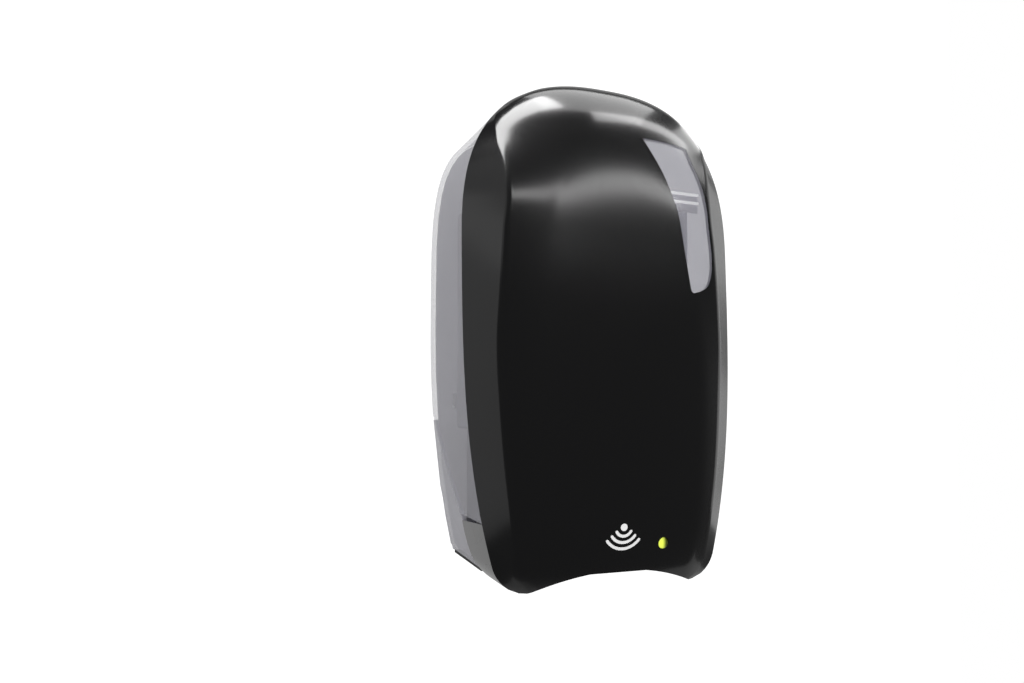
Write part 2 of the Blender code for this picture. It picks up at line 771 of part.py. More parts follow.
def make_window():
    """A curved window that fills its opening flush with the front."""
    steps = 12
    low = min(share for _, share in WINDOW_SHARES) * BODY_HEIGHT - OVERRUN
    high = max(share for _, share in WINDOW_SHARES) * BODY_HEIGHT + OVERRUN
    left = min(share for share, _ in WINDOW_SHARES) * BODY_HALF_WIDTH - OVERRUN
    right = max(share for share, _ in WINDOW_SHARES) * BODY_HALF_WIDTH + OVERRUN
    rows = []
    for r in range(steps + 1):
        height = low + (high - low) * r / steps
        columns = [right + (left - right) * c / steps for c in range(steps + 1)]
        rows.append([(x, front_depth(x, height), height) for x in columns])
    window = surface("level_window", rows)
    add_wall(window, WINDOW_WALL)
    keep(window, front_prism("window_edge", [inset_loop(window_loop(), GAP)],
                             SEAM_CREST_DEPTH - OVERRUN, BODY_DEPTH + OVERRUN))
    return finish(window, (0.40, 0.40, 0.43), 0.15)


def make_lens():
    front = front_depth(LENS_X, LENS_HEIGHT) + MARK_WALL
    inner = front_depth(LENS_X, LENS_HEIGHT) - SKIN_WALL - 4 * GAP
    profile = [(0, front - LENS_BACK_DEPTH), (LENS_RADIUS, front - LENS_BACK_DEPTH),
               (LENS_RADIUS, inner - LENS_BACK_DEPTH),
               (LENS_FLANGE_RADIUS, inner - LENS_BACK_DEPTH),
               (LENS_FLANGE_RADIUS, inner - LENS_FLANGE_WALL - LENS_BACK_DEPTH),
               (LENS_RADIUS, inner - LENS_FLANGE_WALL - LENS_BACK_DEPTH), (LENS_RADIUS, 0), (0, 0)]
    lens = turned("status_lens", (LENS_X, LENS_BACK_DEPTH, LENS_HEIGHT), (0, -1, 0), profile, 20)
    return finish(lens, (0.50, 0.62, 0.10), 0.2)


def front_patch(name, half, low, high, lift, wall):
    """A thin patch of the front's own curve, whose outer face stands off by the lift."""
    rows = []
    for r in range(9):
        height = low + (high - low) * r / 8
        columns = [half * (1 - c / 4) for c in range(9)]
        rows.append([(x, front_depth(x, height) + lift, height) for x in columns])
    patch = surface(name, rows)
    add_wall(patch, wall)
    return patch


def make_label():
    """A thin film on the front that carries a raised dot and three arcs."""
    loops = [circle((0, MARK_HEIGHT), MARK_DOT_RADIUS, 16)]
    for radius, spread in zip(MARK_RADII, MARK_SPREADS):
        outer = arc((0, MARK_HEIGHT), radius + MARK_STROKE / 2, 270 - spread, 270 + spread, 12)
        inner = arc((0, MARK_HEIGHT), radius - MARK_STROKE / 2, 270 + spread, 270 - spread, 12)
        loops.append(outer + inner)
    low = MARK_HEIGHT - MARK_RADII[-1] - 2 * MARK_STROKE
    high = MARK_HEIGHT + 2 * MARK_DOT_RADIUS
    half = MARK_RADII[-1] + MARK_STROKE
    label = front_patch("sensing_label", half, low, high, GAP + MARK_WALL, MARK_WALL)
    raised = front_patch("mark_patch", half, low, high, GAP + 2 * MARK_WALL, MARK_WALL + GAP / 2)
    keep(raised, front_prism("mark_outline", loops, SEAM_CREST_DEPTH, BODY_DEPTH + OVERRUN))
    join(label, raised)
    return finish(label, (0.85, 0.85, 0.85), 0.5)


# Back plate, floor and chassis

def floor_top(depth):
    return FLOOR_HEIGHT + FLOOR_WALL - FLOOR_DROP * depth / FLOOR_LENGTH


def wing_line(depth):
    """Height of the shell's slanted lower rear edge at a distance from the wall."""
    share = (depth - WALL_GAP) / (WING_FOOT_DEPTH - WALL_GAP)
    return WING_BACK_HEIGHT + (WING_FOOT_HEIGHT - WING_BACK_HEIGHT) * share


def plate_side():
    """Right half of the back plate's outline, from its foot to its crown, inside the shell."""
    inset = SHELL_WALL + SWING_GAP + GAP
    step = wing_line(PLATE_WALL) - 2 * RUN_GAP
    foot = floor_top(0) + GAP
    low = [(back_half_width(height) - GAP, height) for height in (foot, (foot + step) / 2, step)]
    middle = (step + BACK_ARCH_START) / 2
    high = [(back_half_width(height), height) for height in (step + GAP, middle)]
    share = 2 / BACK_ARCH_POWER
    for part in range(ARCH_ROWS + 1):
        angle = math.pi / 2 * part / ARCH_ROWS
        high.append((BACK_HALF_WIDTH * math.cos(angle) ** share,
                     BACK_ARCH_START + (BODY_HEIGHT - BACK_ARCH_START) * math.sin(angle) ** share))
    inner = []
    for index, here in enumerate(high):
        before = Vector(high[max(index - 1, 0)])
        after = Vector(high[min(index + 1, len(high) - 1)])
        along = (after - before).normalized()
        inner.append((here[0] - along.y * inset, here[1] + along.x * inset))
    inner[0] = (inner[0][0], step + GAP)
    return low + inner[:-1], (0.0, BODY_HEIGHT - inset)


def make_back_plate():
    right, crown = plate_side()
    foot = floor_top(0) + GAP
    step = wing_line(PLATE_WALL) - 2 * RUN_GAP
    left = [(-x, height) for x, height in reversed(right)]
    holes = [circle((side * WALL_SCREW_X, height), WALL_SCREW_RADIUS + GAP, 12)
             for side in (-1, 1) for height in WALL_SCREW_HEIGHTS]
    plate = front_prism("back_plate", [right + [crown] + left] + holes, 0, PLATE_WALL)
    low = foot - GAP
    rows = []
    for height in (low - OVERRUN, foot + OVERRUN, PIVOT_HEIGHT, (PIVOT_HEIGHT + step) / 2, step):
        depths = [0.0, WING_FOOT_DEPTH / 2, WING_FOOT_DEPTH + OVERRUN]
        rows.append([(side_half_width(height, depth) - GAP, depth, height) for depth in depths])
    wall = surface("side_wall", rows)
    add_wall(wall, SHELL_WALL)
    mirror = wall.modifiers.new("mirror", "MIRROR")
    mirror.use_axis = (True, False, False)
    mirror.merge_threshold = 0.00001
    reach = WING_FOOT_DEPTH - RUN_GAP
    clear = EAR_RADIUS + RUN_GAP
    loop = [(PLATE_WALL / 2, step), (PLATE_WALL, step), (reach, wing_line(reach) - 2 * RUN_GAP)]
    loop += [point for point in pivot_arc(clear, 175, 250, 10) if point[1] > floor_top(point[0]) + GAP]
    end = loop[-1][0]
    loop += [(end, floor_top(end) + GAP), (PLATE_WALL / 2, floor_top(PLATE_WALL / 2) + GAP)]
    keep(wall, side_prism("wall_side", loop))
    join(plate, wall)
    return finish(plate, (0.50, 0.50, 0.53), 0.35)


def make_floor():
    """A thin panel that falls slightly to the front, cut out for the nozzle and the sensor."""
    rear = back_half_width(FLOOR_HEIGHT)
    step = side_half_width(FLOOR_HEIGHT - FLOOR_WALL, FLOOR_STEP_DEPTH)
    loop = [(rear, 0), (-rear, 0), (-step, -FLOOR_STEP_DEPTH),
            (-FLOOR_FRONT_HALF_WIDTH, -FLOOR_STEP_DEPTH - GAP),
            (-FLOOR_FRONT_HALF_WIDTH, -FLOOR_LENGTH), (FLOOR_FRONT_HALF_WIDTH, -FLOOR_LENGTH),
            (FLOOR_FRONT_HALF_WIDTH, -FLOOR_STEP_DEPTH - GAP), (step, -FLOOR_STEP_DEPTH)]
    nozzle_hole = circle((0, -PUMP_DEPTH), NOZZLE_RADIUS + GAP, 24)
    half = SENSOR_WINDOW_HALF_WIDTH + GAP
    reach = SENSOR_WINDOW_HALF_DEPTH + GAP
    sensor_hole = rounded_rectangle((-half, -SENSOR_DEPTH - reach), (half, -SENSOR_DEPTH + reach),
                                    reach / 2)
    floor = outline("floor_panel", [loop, nozzle_hole, sensor_hole], FLOOR_WALL, TOP_VIEW,
                    place(0, 0, FLOOR_HEIGHT))
    floor.rotation_euler.x = math.atan(FLOOR_DROP / FLOOR_LENGTH)
    return finish(floor, (0.03, 0.03, 0.032), 0.4)


def make_chassis():
    rear = PLATE_WALL + 2 * GAP
    half = CHASSIS_HALF_WIDTH
    chassis = box("pump_chassis", (-half, rear, CHASSIS_FOOT), (half, CHASSIS_FRONT, CHASSIS_TOP))
    inner = half - CHASSIS_WALL
    cut(chassis, box("chassis_room", (-inner, rear + CHASSIS_WALL, CHASSIS_FOOT - OVERRUN),
                     (inner, CHASSIS_FRONT + OVERRUN, CHASSIS_TOP - CHASSIS_WALL)))
    cut(chassis, rod("spout_hole", (SPOUT_X, PUMP_DEPTH, CHASSIS_TOP - 2 * OVERRUN),
                     (SPOUT_X, PUMP_DEPTH, CHASSIS_TOP + OVERRUN), SPOUT_RADIUS + GAP))
    cut(chassis, box("lead_slot", (LEAD_X - 2 * LEAD_RADIUS, rear - OVERRUN, lead_height() - OVERRUN),
                     (LEAD_X + 2 * LEAD_RADIUS, rear + OVERRUN, CHASSIS_TOP + OVERRUN)))
    cut(chassis, rod("pin_holes", (-half - OVERRUN, PIVOT_DEPTH, PIVOT_HEIGHT),
                     (half + OVERRUN, PIVOT_DEPTH, PIVOT_HEIGHT), PIN_RADIUS + GAP))
    for x, height in case_post_places():
        join(chassis, rod("case_post", (x, rear + CHASSIS_WALL / 2, height),
                          (x, CASE_BACK - GAP, height), POST_RADIUS, 16))
    return finish(chassis, (0.55, 0.56, 0.58), 0.45)


def make_hinge_pins():
    wall = side_half_width(PIVOT_HEIGHT, PIVOT_DEPTH) - SKIN_WALL / 2 - SKIN_WALL
    head = CHASSIS_HALF_WIDTH - CHASSIS_WALL - GAP
    start = head - PIN_HEAD_LENGTH
    for name, side in (("hinge_pin_left", -1), ("hinge_pin_right", 1)):
        length = wall - GAP - start
        profile = [(0, length), (PIN_RADIUS, length), (PIN_RADIUS, PIN_HEAD_LENGTH),
                   (PIN_HEAD_RADIUS, PIN_HEAD_LENGTH), (PIN_HEAD_RADIUS, 0), (0, 0)]
        pin = turned(name, (side * start, PIVOT_DEPTH, PIVOT_HEIGHT), (side, 0, 0), profile, 20)
        finish(pin, (0.6, 0.6, 0.6), 0.3, 1.0)


# Tank

TANK_FOOT = CHASSIS_TOP + 2 * GAP
TANK_TOP = TANK_FOOT + TANK_HEIGHT
LEAD_X = 0.030


def make_tank():
    loop = rounded_rectangle((-TANK_HALF_WIDTH, -TANK_FRONT), (TANK_HALF_WIDTH, -TANK_BACK),
                             TANK_CORNER)
    tank = outline("tank", [loop], TANK_HEIGHT, TOP_VIEW, place(0, 0, TANK_FOOT))
    join(tank, rod("neck", (0, NECK_DEPTH, TANK_TOP - TANK_WALL / 2),
                   (0, NECK_DEPTH, TANK_TOP + NECK_HEIGHT), NECK_RADIUS, 32))
    inner = rounded_rectangle((-TANK_HALF_WIDTH + TANK_WALL, -TANK_FRONT + TANK_WALL),
                              (TANK_HALF_WIDTH - TANK_WALL, -TANK_BACK - TANK_WALL),
                              TANK_CORNER - TANK_WALL)
    cut(tank, outline("tank_room", [inner], TANK_HEIGHT - 2 * TANK_WALL, TOP_VIEW,
                      place(0, 0, TANK_FOOT + TANK_WALL)))
    cut(tank, rod("neck_bore", (0, NECK_DEPTH, TANK_TOP - TANK_WALL - OVERRUN),
                  (0, NECK_DEPTH, TANK_TOP + NECK_HEIGHT + OVERRUN), NECK_BORE, 32))
    cut(tank, rod("spout_bore", (SPOUT_X, PUMP_DEPTH, TANK_FOOT - OVERRUN),
                  (SPOUT_X, PUMP_DEPTH, TANK_FOOT + TANK_WALL + OVERRUN), SPOUT_RADIUS + GAP))
    return finish(tank, (0.70, 0.70, 0.72), 0.3)


def make_cap():
    rim = TANK_TOP + NECK_HEIGHT
    seal = turned("cap_seal", (0, NECK_DEPTH, rim + GAP), (0, 0, 1),
                  [(NECK_BORE, SEAL_WALL), (NECK_RADIUS, SEAL_WALL), (NECK_RADIUS, 0),
                   (NECK_BORE, 0), (NECK_BORE, SEAL_WALL)])
    finish(seal, (0.08, 0.08, 0.08), 0.7)
    under = rim + 2 * GAP + SEAL_WALL
    skirt = CAP_HEIGHT - CAP_WALL
    profile = [(0, CAP_WALL), (CAP_RADIUS, CAP_WALL), (CAP_RADIUS, -skirt + CAP_WALL),
               (NECK_RADIUS + GAP, -skirt + CAP_WALL), (NECK_RADIUS + GAP, 0), (0, 0)]
    cap = turned("tank_cap", (0, NECK_DEPTH, under), (0, 0, 1), profile)
    grip = box("cap_grip", (-CAP_RADIUS * 0.8, NECK_DEPTH - CAP_GRIP_WIDTH / 2, under + CAP_WALL / 2),
               (CAP_RADIUS * 0.8, NECK_DEPTH + CAP_GRIP_WIDTH / 2, under + CAP_WALL + CAP_GRIP_HEIGHT))
    join(cap, grip)
    return finish(cap, (0.10, 0.10, 0.11), 0.4)


def make_spout():
    """A push-in spout with a flange on the tank's floor."""
    flange = TANK_FOOT + TANK_WALL + GAP
    foot = TANK_FOOT - SPOUT_LENGTH
    top = flange + SPOUT_FLANGE_WALL
    profile = [(SPOUT_BORE, top - foot), (SPOUT_FLANGE_RADIUS, top - foot),
               (SPOUT_FLANGE_RADIUS, flange - foot), (SPOUT_RADIUS, flange - foot),
               (SPOUT_RADIUS, 0), (SPOUT_BORE, 0), (SPOUT_BORE, top - foot)]
    spout = turned("tank_spout", (SPOUT_X, PUMP_DEPTH, foot), (0, 0, 1), profile, 24)
    finish(spout, (0.75, 0.75, 0.76), 0.35)
    return foot


SPOUT_FLANGE_RADIUS = SPOUT_RADIUS + SPOUT_FLANGE_RIM


# Pump

TUBE_TOP = PUMP_HEIGHT + LOOP_RADIUS
TUBE_FOOT = PUMP_HEIGHT - LOOP_RADIUS
TRACK_RADIUS = LOOP_RADIUS + TUBE_RADIUS + GAP
HOUSING_RADIUS = TRACK_RADIUS + PUMP_RIM_WALL


def pump_loop(radius, side_reach):
    """Round on the left, square on the right, as (x, height) points."""
    points = arc((PUMP_X, PUMP_HEIGHT), radius, 90, 270, 18)
    return points + [(PUMP_X + side_reach, PUMP_HEIGHT - radius),
                     (PUMP_X + side_reach, PUMP_HEIGHT + radius)]


def make_pump_housing():
    housing = front_prism("pump_housing", [pump_loop(HOUSING_RADIUS, PUMP_SIDE_REACH)],
                          PUMP_BACK, PUMP_FRONT)
    cut(housing, front_prism("pump_track",
                             [pump_loop(TRACK_RADIUS, PUMP_SIDE_REACH - PUMP_RIM_WALL)],
                             PUMP_BACK + PUMP_BACK_WALL, PUMP_FRONT + OVERRUN))
    cut(housing, rod("shaft_hole", (PUMP_X, PUMP_BACK - OVERRUN, PUMP_HEIGHT),
                     (PUMP_X, PUMP_BACK + OVERRUN, PUMP_HEIGHT), ROTOR_SHAFT_RADIUS + GAP))
    clear = TUBE_RADIUS + GAP
    cut(housing, box("inlet_slot", (PUMP_X + PUMP_SIDE_REACH / 2, PUMP_DEPTH - clear, TUBE_TOP - clear),
                     (PUMP_X + PUMP_SIDE_REACH + OVERRUN, PUMP_FRONT + OVERRUN, TUBE_TOP + clear)))
    cut(housing, box("outlet_slot",
                     (-OUTLET_BEND, PUMP_DEPTH - clear, PUMP_HEIGHT - HOUSING_RADIUS - OVERRUN),
                     (clear, PUMP_FRONT + OVERRUN, TUBE_FOOT)))
    return finish(housing, (0.78, 0.78, 0.80), 0.4)


def make_pump_cover():
    front = PUMP_FRONT + GAP
    loops = [pump_loop(HOUSING_RADIUS, PUMP_SIDE_REACH)]
    cover = front_prism("pump_cover", loops, front, front + PUMP_COVER_WALL)
    return finish(cover, (0.30, 0.31, 0.33), 0.35)


def make_rotor():
    """Shaft, hub, two roller plates and three pins in one piece, and the rollers on the pins."""
    back = PUMP_BACK + PUMP_BACK_WALL + RUN_GAP
    front = PUMP_FRONT - RUN_GAP
    start = CASE_BACK + CASE_WALL + RUN_GAP
    base = (PUMP_X, start, PUMP_HEIGHT)
    profile = [(0, front - start), (ROTOR_PLATE_RADIUS, front - start),
               (ROTOR_PLATE_RADIUS, front - ROTOR_PLATE_WALL - start),
               (ROTOR_HUB_RADIUS, front - ROTOR_PLATE_WALL - start),
               (ROTOR_HUB_RADIUS, back + ROTOR_PLATE_WALL - start),
               (ROTOR_PLATE_RADIUS, back + ROTOR_PLATE_WALL - start),
               (ROTOR_PLATE_RADIUS, back - start), (ROTOR_SHAFT_RADIUS, back - start),
               (ROTOR_SHAFT_RADIUS, 0), (0, 0)]
    rotor = turned("pump_rotor", base, (0, -1, 0), profile, 24)
    finish(rotor, (0.72, 0.72, 0.74), 0.4)
    for index in range(ROLLER_COUNT):
        x, height = roller_place(index)
        roller_back = back + ROTOR_PLATE_WALL + GAP
        roller_front = front - ROTOR_PLATE_WALL - GAP
        roller = turned(f"roller_{index + 1}", (x, roller_back, height), (0, -1, 0),
                        [(ROLLER_PIN_RADIUS + GAP, roller_front - roller_back),
                         (ROLLER_RADIUS, roller_front - roller_back), (ROLLER_RADIUS, 0),
                         (ROLLER_PIN_RADIUS + GAP, 0),
                         (ROLLER_PIN_RADIUS + GAP, roller_front - roller_back)], 18)
        finish(roller, (0.85, 0.85, 0.83), 0.35)
        join(rotor, rod("roller_pin", (x, back + GAP, height), (x, front - GAP, height),
                        ROLLER_PIN_RADIUS, 12))


def roller_place(index):
    radius = LOOP_RADIUS - TUBE_RADIUS - GAP - ROLLER_RADIUS
    angle = math.radians(90 + 360 / ROLLER_COUNT * index)
    return PUMP_X + radius * math.cos(angle), PUMP_HEIGHT + radius * math.sin(angle)


def make_tube(spout_foot):
    """One hose from the spout, round the rotor and down to the nozzle, in the pump's own plane."""
    bend = SPOUT_X - (PUMP_X + PUMP_SIDE_REACH) - GAP
    path = [(SPOUT_X, spout_foot - GAP)]
    path += arc((SPOUT_X - bend, TUBE_TOP + bend), bend, 0, -90, 6)
    path += arc((PUMP_X, PUMP_HEIGHT), LOOP_RADIUS, 90, 270, 18)
    path += arc((-OUTLET_BEND, TUBE_FOOT - OUTLET_BEND), OUTLET_BEND, 90, 0, 8)
    path.append((0.0, NOZZLE_TOP_HEIGHT + GAP))
    hose = tube("pump_tube", [(x, PUMP_DEPTH, height) for x, height in path], TUBE_RADIUS)
    finish(hose, (0.82, 0.80, 0.72), 0.4)


# Gear train

def gear_radius(teeth):
    return GEAR_MODULE * teeth / 2


def polar(centre, distance, angle):
    return centre[0] + distance * math.cos(angle), centre[1] + distance * math.sin(angle)


ROTOR_AXIS = (PUMP_X, PUMP_HEIGHT)
COMPOUND_AXIS = polar(ROTOR_AXIS, gear_radius(OUTPUT_TEETH + SMALL_TEETH) + GEAR_SLACK,
                      COMPOUND_ANGLE)
PINION_AXIS = polar(COMPOUND_AXIS, gear_radius(LARGE_TEETH + PINION_TEETH) + GEAR_SLACK,
                    PINION_ANGLE)


def gear_loop(centre, teeth, phase):
    """Tooth outline: each tooth has a root, a flank point and a tip on both sides."""
    pitch = gear_radius(teeth)
    tip = pitch + 0.9 * GEAR_MODULE
    root = pitch - 1.2 * GEAR_MODULE
    step = 2 * math.pi / teeth
    points = []
    for tooth in range(teeth):
        middle = phase + tooth * step
        for offset, radius in ((-0.32, root), (-0.21, pitch), (-0.10, tip),
                               (0.10, tip), (0.21, pitch), (0.32, root)):
            points.append(polar(centre, radius, middle + offset * step))
    return points


def case_post_places():
    low, high = case_corners()
    return [(x, height) for x in (low[0] + POST_INSET, high[0] - POST_INSET)
            for height in (low[1] + POST_INSET, high[1] - POST_INSET)]


def case_corners():
    """Lowest and highest (x, height) of the gearbox, around all three gears."""
    output = gear_radius(OUTPUT_TEETH) + GEAR_MODULE + CASE_MARGIN
    large = gear_radius(LARGE_TEETH) + GEAR_MODULE + CASE_MARGIN
    pinion = gear_radius(PINION_TEETH) + GEAR_MODULE + CASE_MARGIN
    low = (ROTOR_AXIS[0] - output, COMPOUND_AXIS[1] - large)
    high = (PINION_AXIS[0] + 2 * pinion, ROTOR_AXIS[1] + output)
    return low, high


def make_gears():
    first = CASE_BACK + CASE_WALL + RUN_GAP
    second = first + GEAR_FACE + RUN_GAP
    toward_pinion = PINION_ANGLE
    pinion = front_prism("motor_pinion",
                         [gear_loop(PINION_AXIS, PINION_TEETH, toward_pinion + math.pi)],
                         first, first + GEAR_FACE)
    shaft_start = CASE_BACK - MOTOR_BORE
    join(pinion, rod("pinion_shaft", (PINION_AXIS[0], shaft_start, PINION_AXIS[1]),
                     (PINION_AXIS[0], first + GEAR_FACE / 2, PINION_AXIS[1]), MOTOR_SHAFT_RADIUS, 12))
    finish(pinion, (0.75, 0.60, 0.25), 0.35, 1.0)
    mesh_phase = toward_pinion + math.pi / LARGE_TEETH
    bore = circle(COMPOUND_AXIS, GEAR_AXLE_RADIUS + GAP, 16)
    large = front_prism("compound_gear", [gear_loop(COMPOUND_AXIS, LARGE_TEETH, mesh_phase), bore],
                        first, first + GEAR_FACE)
    toward_rotor = COMPOUND_ANGLE + math.pi
    small = front_prism("small_gear", [gear_loop(COMPOUND_AXIS, SMALL_TEETH, toward_rotor), bore],
                        first + GEAR_FACE / 2, second + GEAR_FACE)
    join(large, small)
    finish(large, (0.88, 0.87, 0.82), 0.5)
    output_phase = COMPOUND_ANGLE + math.pi / OUTPUT_TEETH
    shaft = circle(ROTOR_AXIS, ROTOR_SHAFT_RADIUS + GAP, 20)
    output = front_prism("output_gear", [gear_loop(ROTOR_AXIS, OUTPUT_TEETH, output_phase), shaft],
                         second, second + GEAR_FACE)
    finish(output, (0.88, 0.87, 0.82), 0.5)


def make_gearbox():
    low, high = case_corners()
    loop = rounded_rectangle(low, high, CASE_CORNER)
    case = front_prism("gearbox_case", [loop], CASE_BACK, CASE_FRONT - CASE_WALL)
    inner = rounded_rectangle((low[0] + CASE_WALL, low[1] + CASE_WALL),
                              (high[0] - CASE_WALL, high[1] - CASE_WALL), CASE_CORNER - CASE_WALL)
    cut(case, front_prism("case_room", [inner], CASE_BACK + CASE_WALL, CASE_FRONT + OVERRUN))
    cut(case, rod("boss_hole", (PINION_AXIS[0], CASE_BACK - OVERRUN, PINION_AXIS[1]),
                  (PINION_AXIS[0], CASE_BACK + OVERRUN, PINION_AXIS[1]), MOTOR_BOSS_RADIUS + GAP))
    join(case, rod("gear_axle", (COMPOUND_AXIS[0], CASE_BACK + CASE_WALL / 2, COMPOUND_AXIS[1]),
                   (COMPOUND_AXIS[0], CASE_FRONT - CASE_WALL - GAP, COMPOUND_AXIS[1]),
                   GEAR_AXLE_RADIUS, 16))
    finish(case, (0.60, 0.61, 0.63), 0.45)
    face = CASE_FRONT - CASE_WALL + GAP
    hole = circle(ROTOR_AXIS, ROTOR_SHAFT_RADIUS + GAP, 20)
    cover = front_prism("gearbox_cover", [loop, hole], face, face + CASE_WALL)
    for x, height in board_post_places():
        join(cover, rod("board_post", (x, face + CASE_WALL / 2, height),
                        (x, BOARD_BACK - GAP, height), BOARD_POST_RADIUS, 16))
        join(cover, rod("board_peg", (x, BOARD_BACK - BOARD_POST_RADIUS, height),
                        (x, BOARD_BACK + 2 * BOARD_WALL, height), PEG_RADIUS, 12))
    finish(cover, (0.60, 0.61, 0.63), 0.45)


def make_motor():
    front = CASE_BACK - GAP
    back = front - MOTOR_LENGTH
    x, height = PINION_AXIS
    half = math.asin(MOTOR_FLAT_HALF_HEIGHT / MOTOR_RADIUS)
    degrees = math.degrees(half)
    loop = arc((x, height), MOTOR_RADIUS, -degrees, degrees, 8)
    loop += arc((x, height), MOTOR_RADIUS, 180 - degrees, 180 + degrees, 8)
    motor = front_prism("motor", [loop], back + MOTOR_CAP_LENGTH + GAP, front)
    join(motor, rod("motor_boss", (x, front - MOTOR_BORE, height),
                    (x, CASE_BACK + CASE_WALL - GAP, height), MOTOR_BOSS_RADIUS, 20))
    cut(motor, rod("motor_bearing", (x, front - MOTOR_BORE, height), (x, front + OVERRUN, height),
                   MOTOR_SHAFT_RADIUS + GAP, 12))
    finish(motor, (0.55, 0.55, 0.56), 0.35, 1.0)
    cap = front_prism("motor_end_cap", [loop], back, back + MOTOR_CAP_LENGTH)
    finish(cap, (0.80, 0.78, 0.70), 0.5)
    return back


# Nozzle, sensor and control board

def make_nozzle():
    tip = NOZZLE_TIP_HEIGHT
    top = NOZZLE_TOP_HEIGHT
    seat = floor_top(PUMP_DEPTH) + 3 * GAP
    profile = [(0, top - tip), (NOZZLE_RADIUS * 0.7, top - tip),
               (NOZZLE_RADIUS, top - tip - VALVE_RADIUS),
               (NOZZLE_RADIUS, seat + NOZZLE_FLANGE_WALL - tip),
               (NOZZLE_FLANGE_RADIUS, seat + NOZZLE_FLANGE_WALL - tip),
               (NOZZLE_FLANGE_RADIUS, seat - tip), (NOZZLE_RADIUS, seat - tip),
               (NOZZLE_RADIUS, 0), (NOZZLE_BORE, 0), (NOZZLE_BORE, 2 * VALVE_RADIUS),
               (0, 2 * VALVE_RADIUS)]
    nozzle = turned("nozzle", (0, PUMP_DEPTH, tip), (0, 0, 1), profile, 24)
    finish(nozzle, (0.70, 0.71, 0.73), 0.4)
    valve = turned("lip_valve", (0, PUMP_DEPTH, tip + GAP), (0, 0, 1),
                   [(0, 2 * VALVE_RADIUS - 2 * GAP), (VALVE_RADIUS, 2 * VALVE_RADIUS - 2 * GAP),
                    (VALVE_RADIUS, VALVE_RADIUS), (VALVE_LIP, 0), (0, 0)], 16)
    finish(valve, (0.80, 0.45, 0.20), 0.5)


def make_sensor():
    top = floor_top(SENSOR_DEPTH)
    base = top + 3 * GAP
    holder = box("sensor_holder",
                 (-HOLDER_HALF_WIDTH, SENSOR_DEPTH - HOLDER_HALF_DEPTH, base),
                 (HOLDER_HALF_WIDTH, SENSOR_DEPTH + HOLDER_HALF_DEPTH, base + HOLDER_HEIGHT))
    for name, x in (("infrared_emitter", -SENSOR_SPACING / 2), ("infrared_receiver", SENSOR_SPACING / 2)):
        cut(holder, rod("sensor_bore", (x, SENSOR_DEPTH, base - OVERRUN),
                        (x, SENSOR_DEPTH, base + HOLDER_HEIGHT + OVERRUN), SENSOR_RADIUS + GAP, 16))
        foot = base + SENSOR_LIFT
        eye = turned(name, (x, SENSOR_DEPTH, foot), (0, 0, 1),
                     [(0, SENSOR_LENGTH), (SENSOR_RADIUS, SENSOR_LENGTH),
                      (SENSOR_RADIUS, SENSOR_RADIUS), (SENSOR_RADIUS * 0.7, SENSOR_RADIUS * 0.3),
                      (0, 0)], 16)
        finish(eye, (0.10, 0.08, 0.14), 0.15)
    finish(holder, (0.04, 0.04, 0.045), 0.5)
    half = SENSOR_WINDOW_HALF_WIDTH
    reach = SENSOR_WINDOW_HALF_DEPTH
    loop = rounded_rectangle((-half, -SENSOR_DEPTH - reach), (half, -SENSOR_DEPTH + reach), reach / 2)
    lens = outline("sensor_window", [loop], FLOOR_WALL, TOP_VIEW, place(0, 0, FLOOR_HEIGHT))
    lens.rotation_euler.x = math.atan(FLOOR_DROP / FLOOR_LENGTH)
    finish(lens, (0.06, 0.03, 0.05), 0.1)


def board_post_places():
    low, high = case_corners()
    right = min(BOARD_RIGHT, high[0]) - 2 * BOARD_POST_INSET
    left = BOARD_LEFT + BOARD_POST_INSET
    return [(x, height) for x in (left, right)
            for height in (low[1] + 2 * BOARD_POST_INSET, high[1] - 2 * BOARD_POST_INSET)]


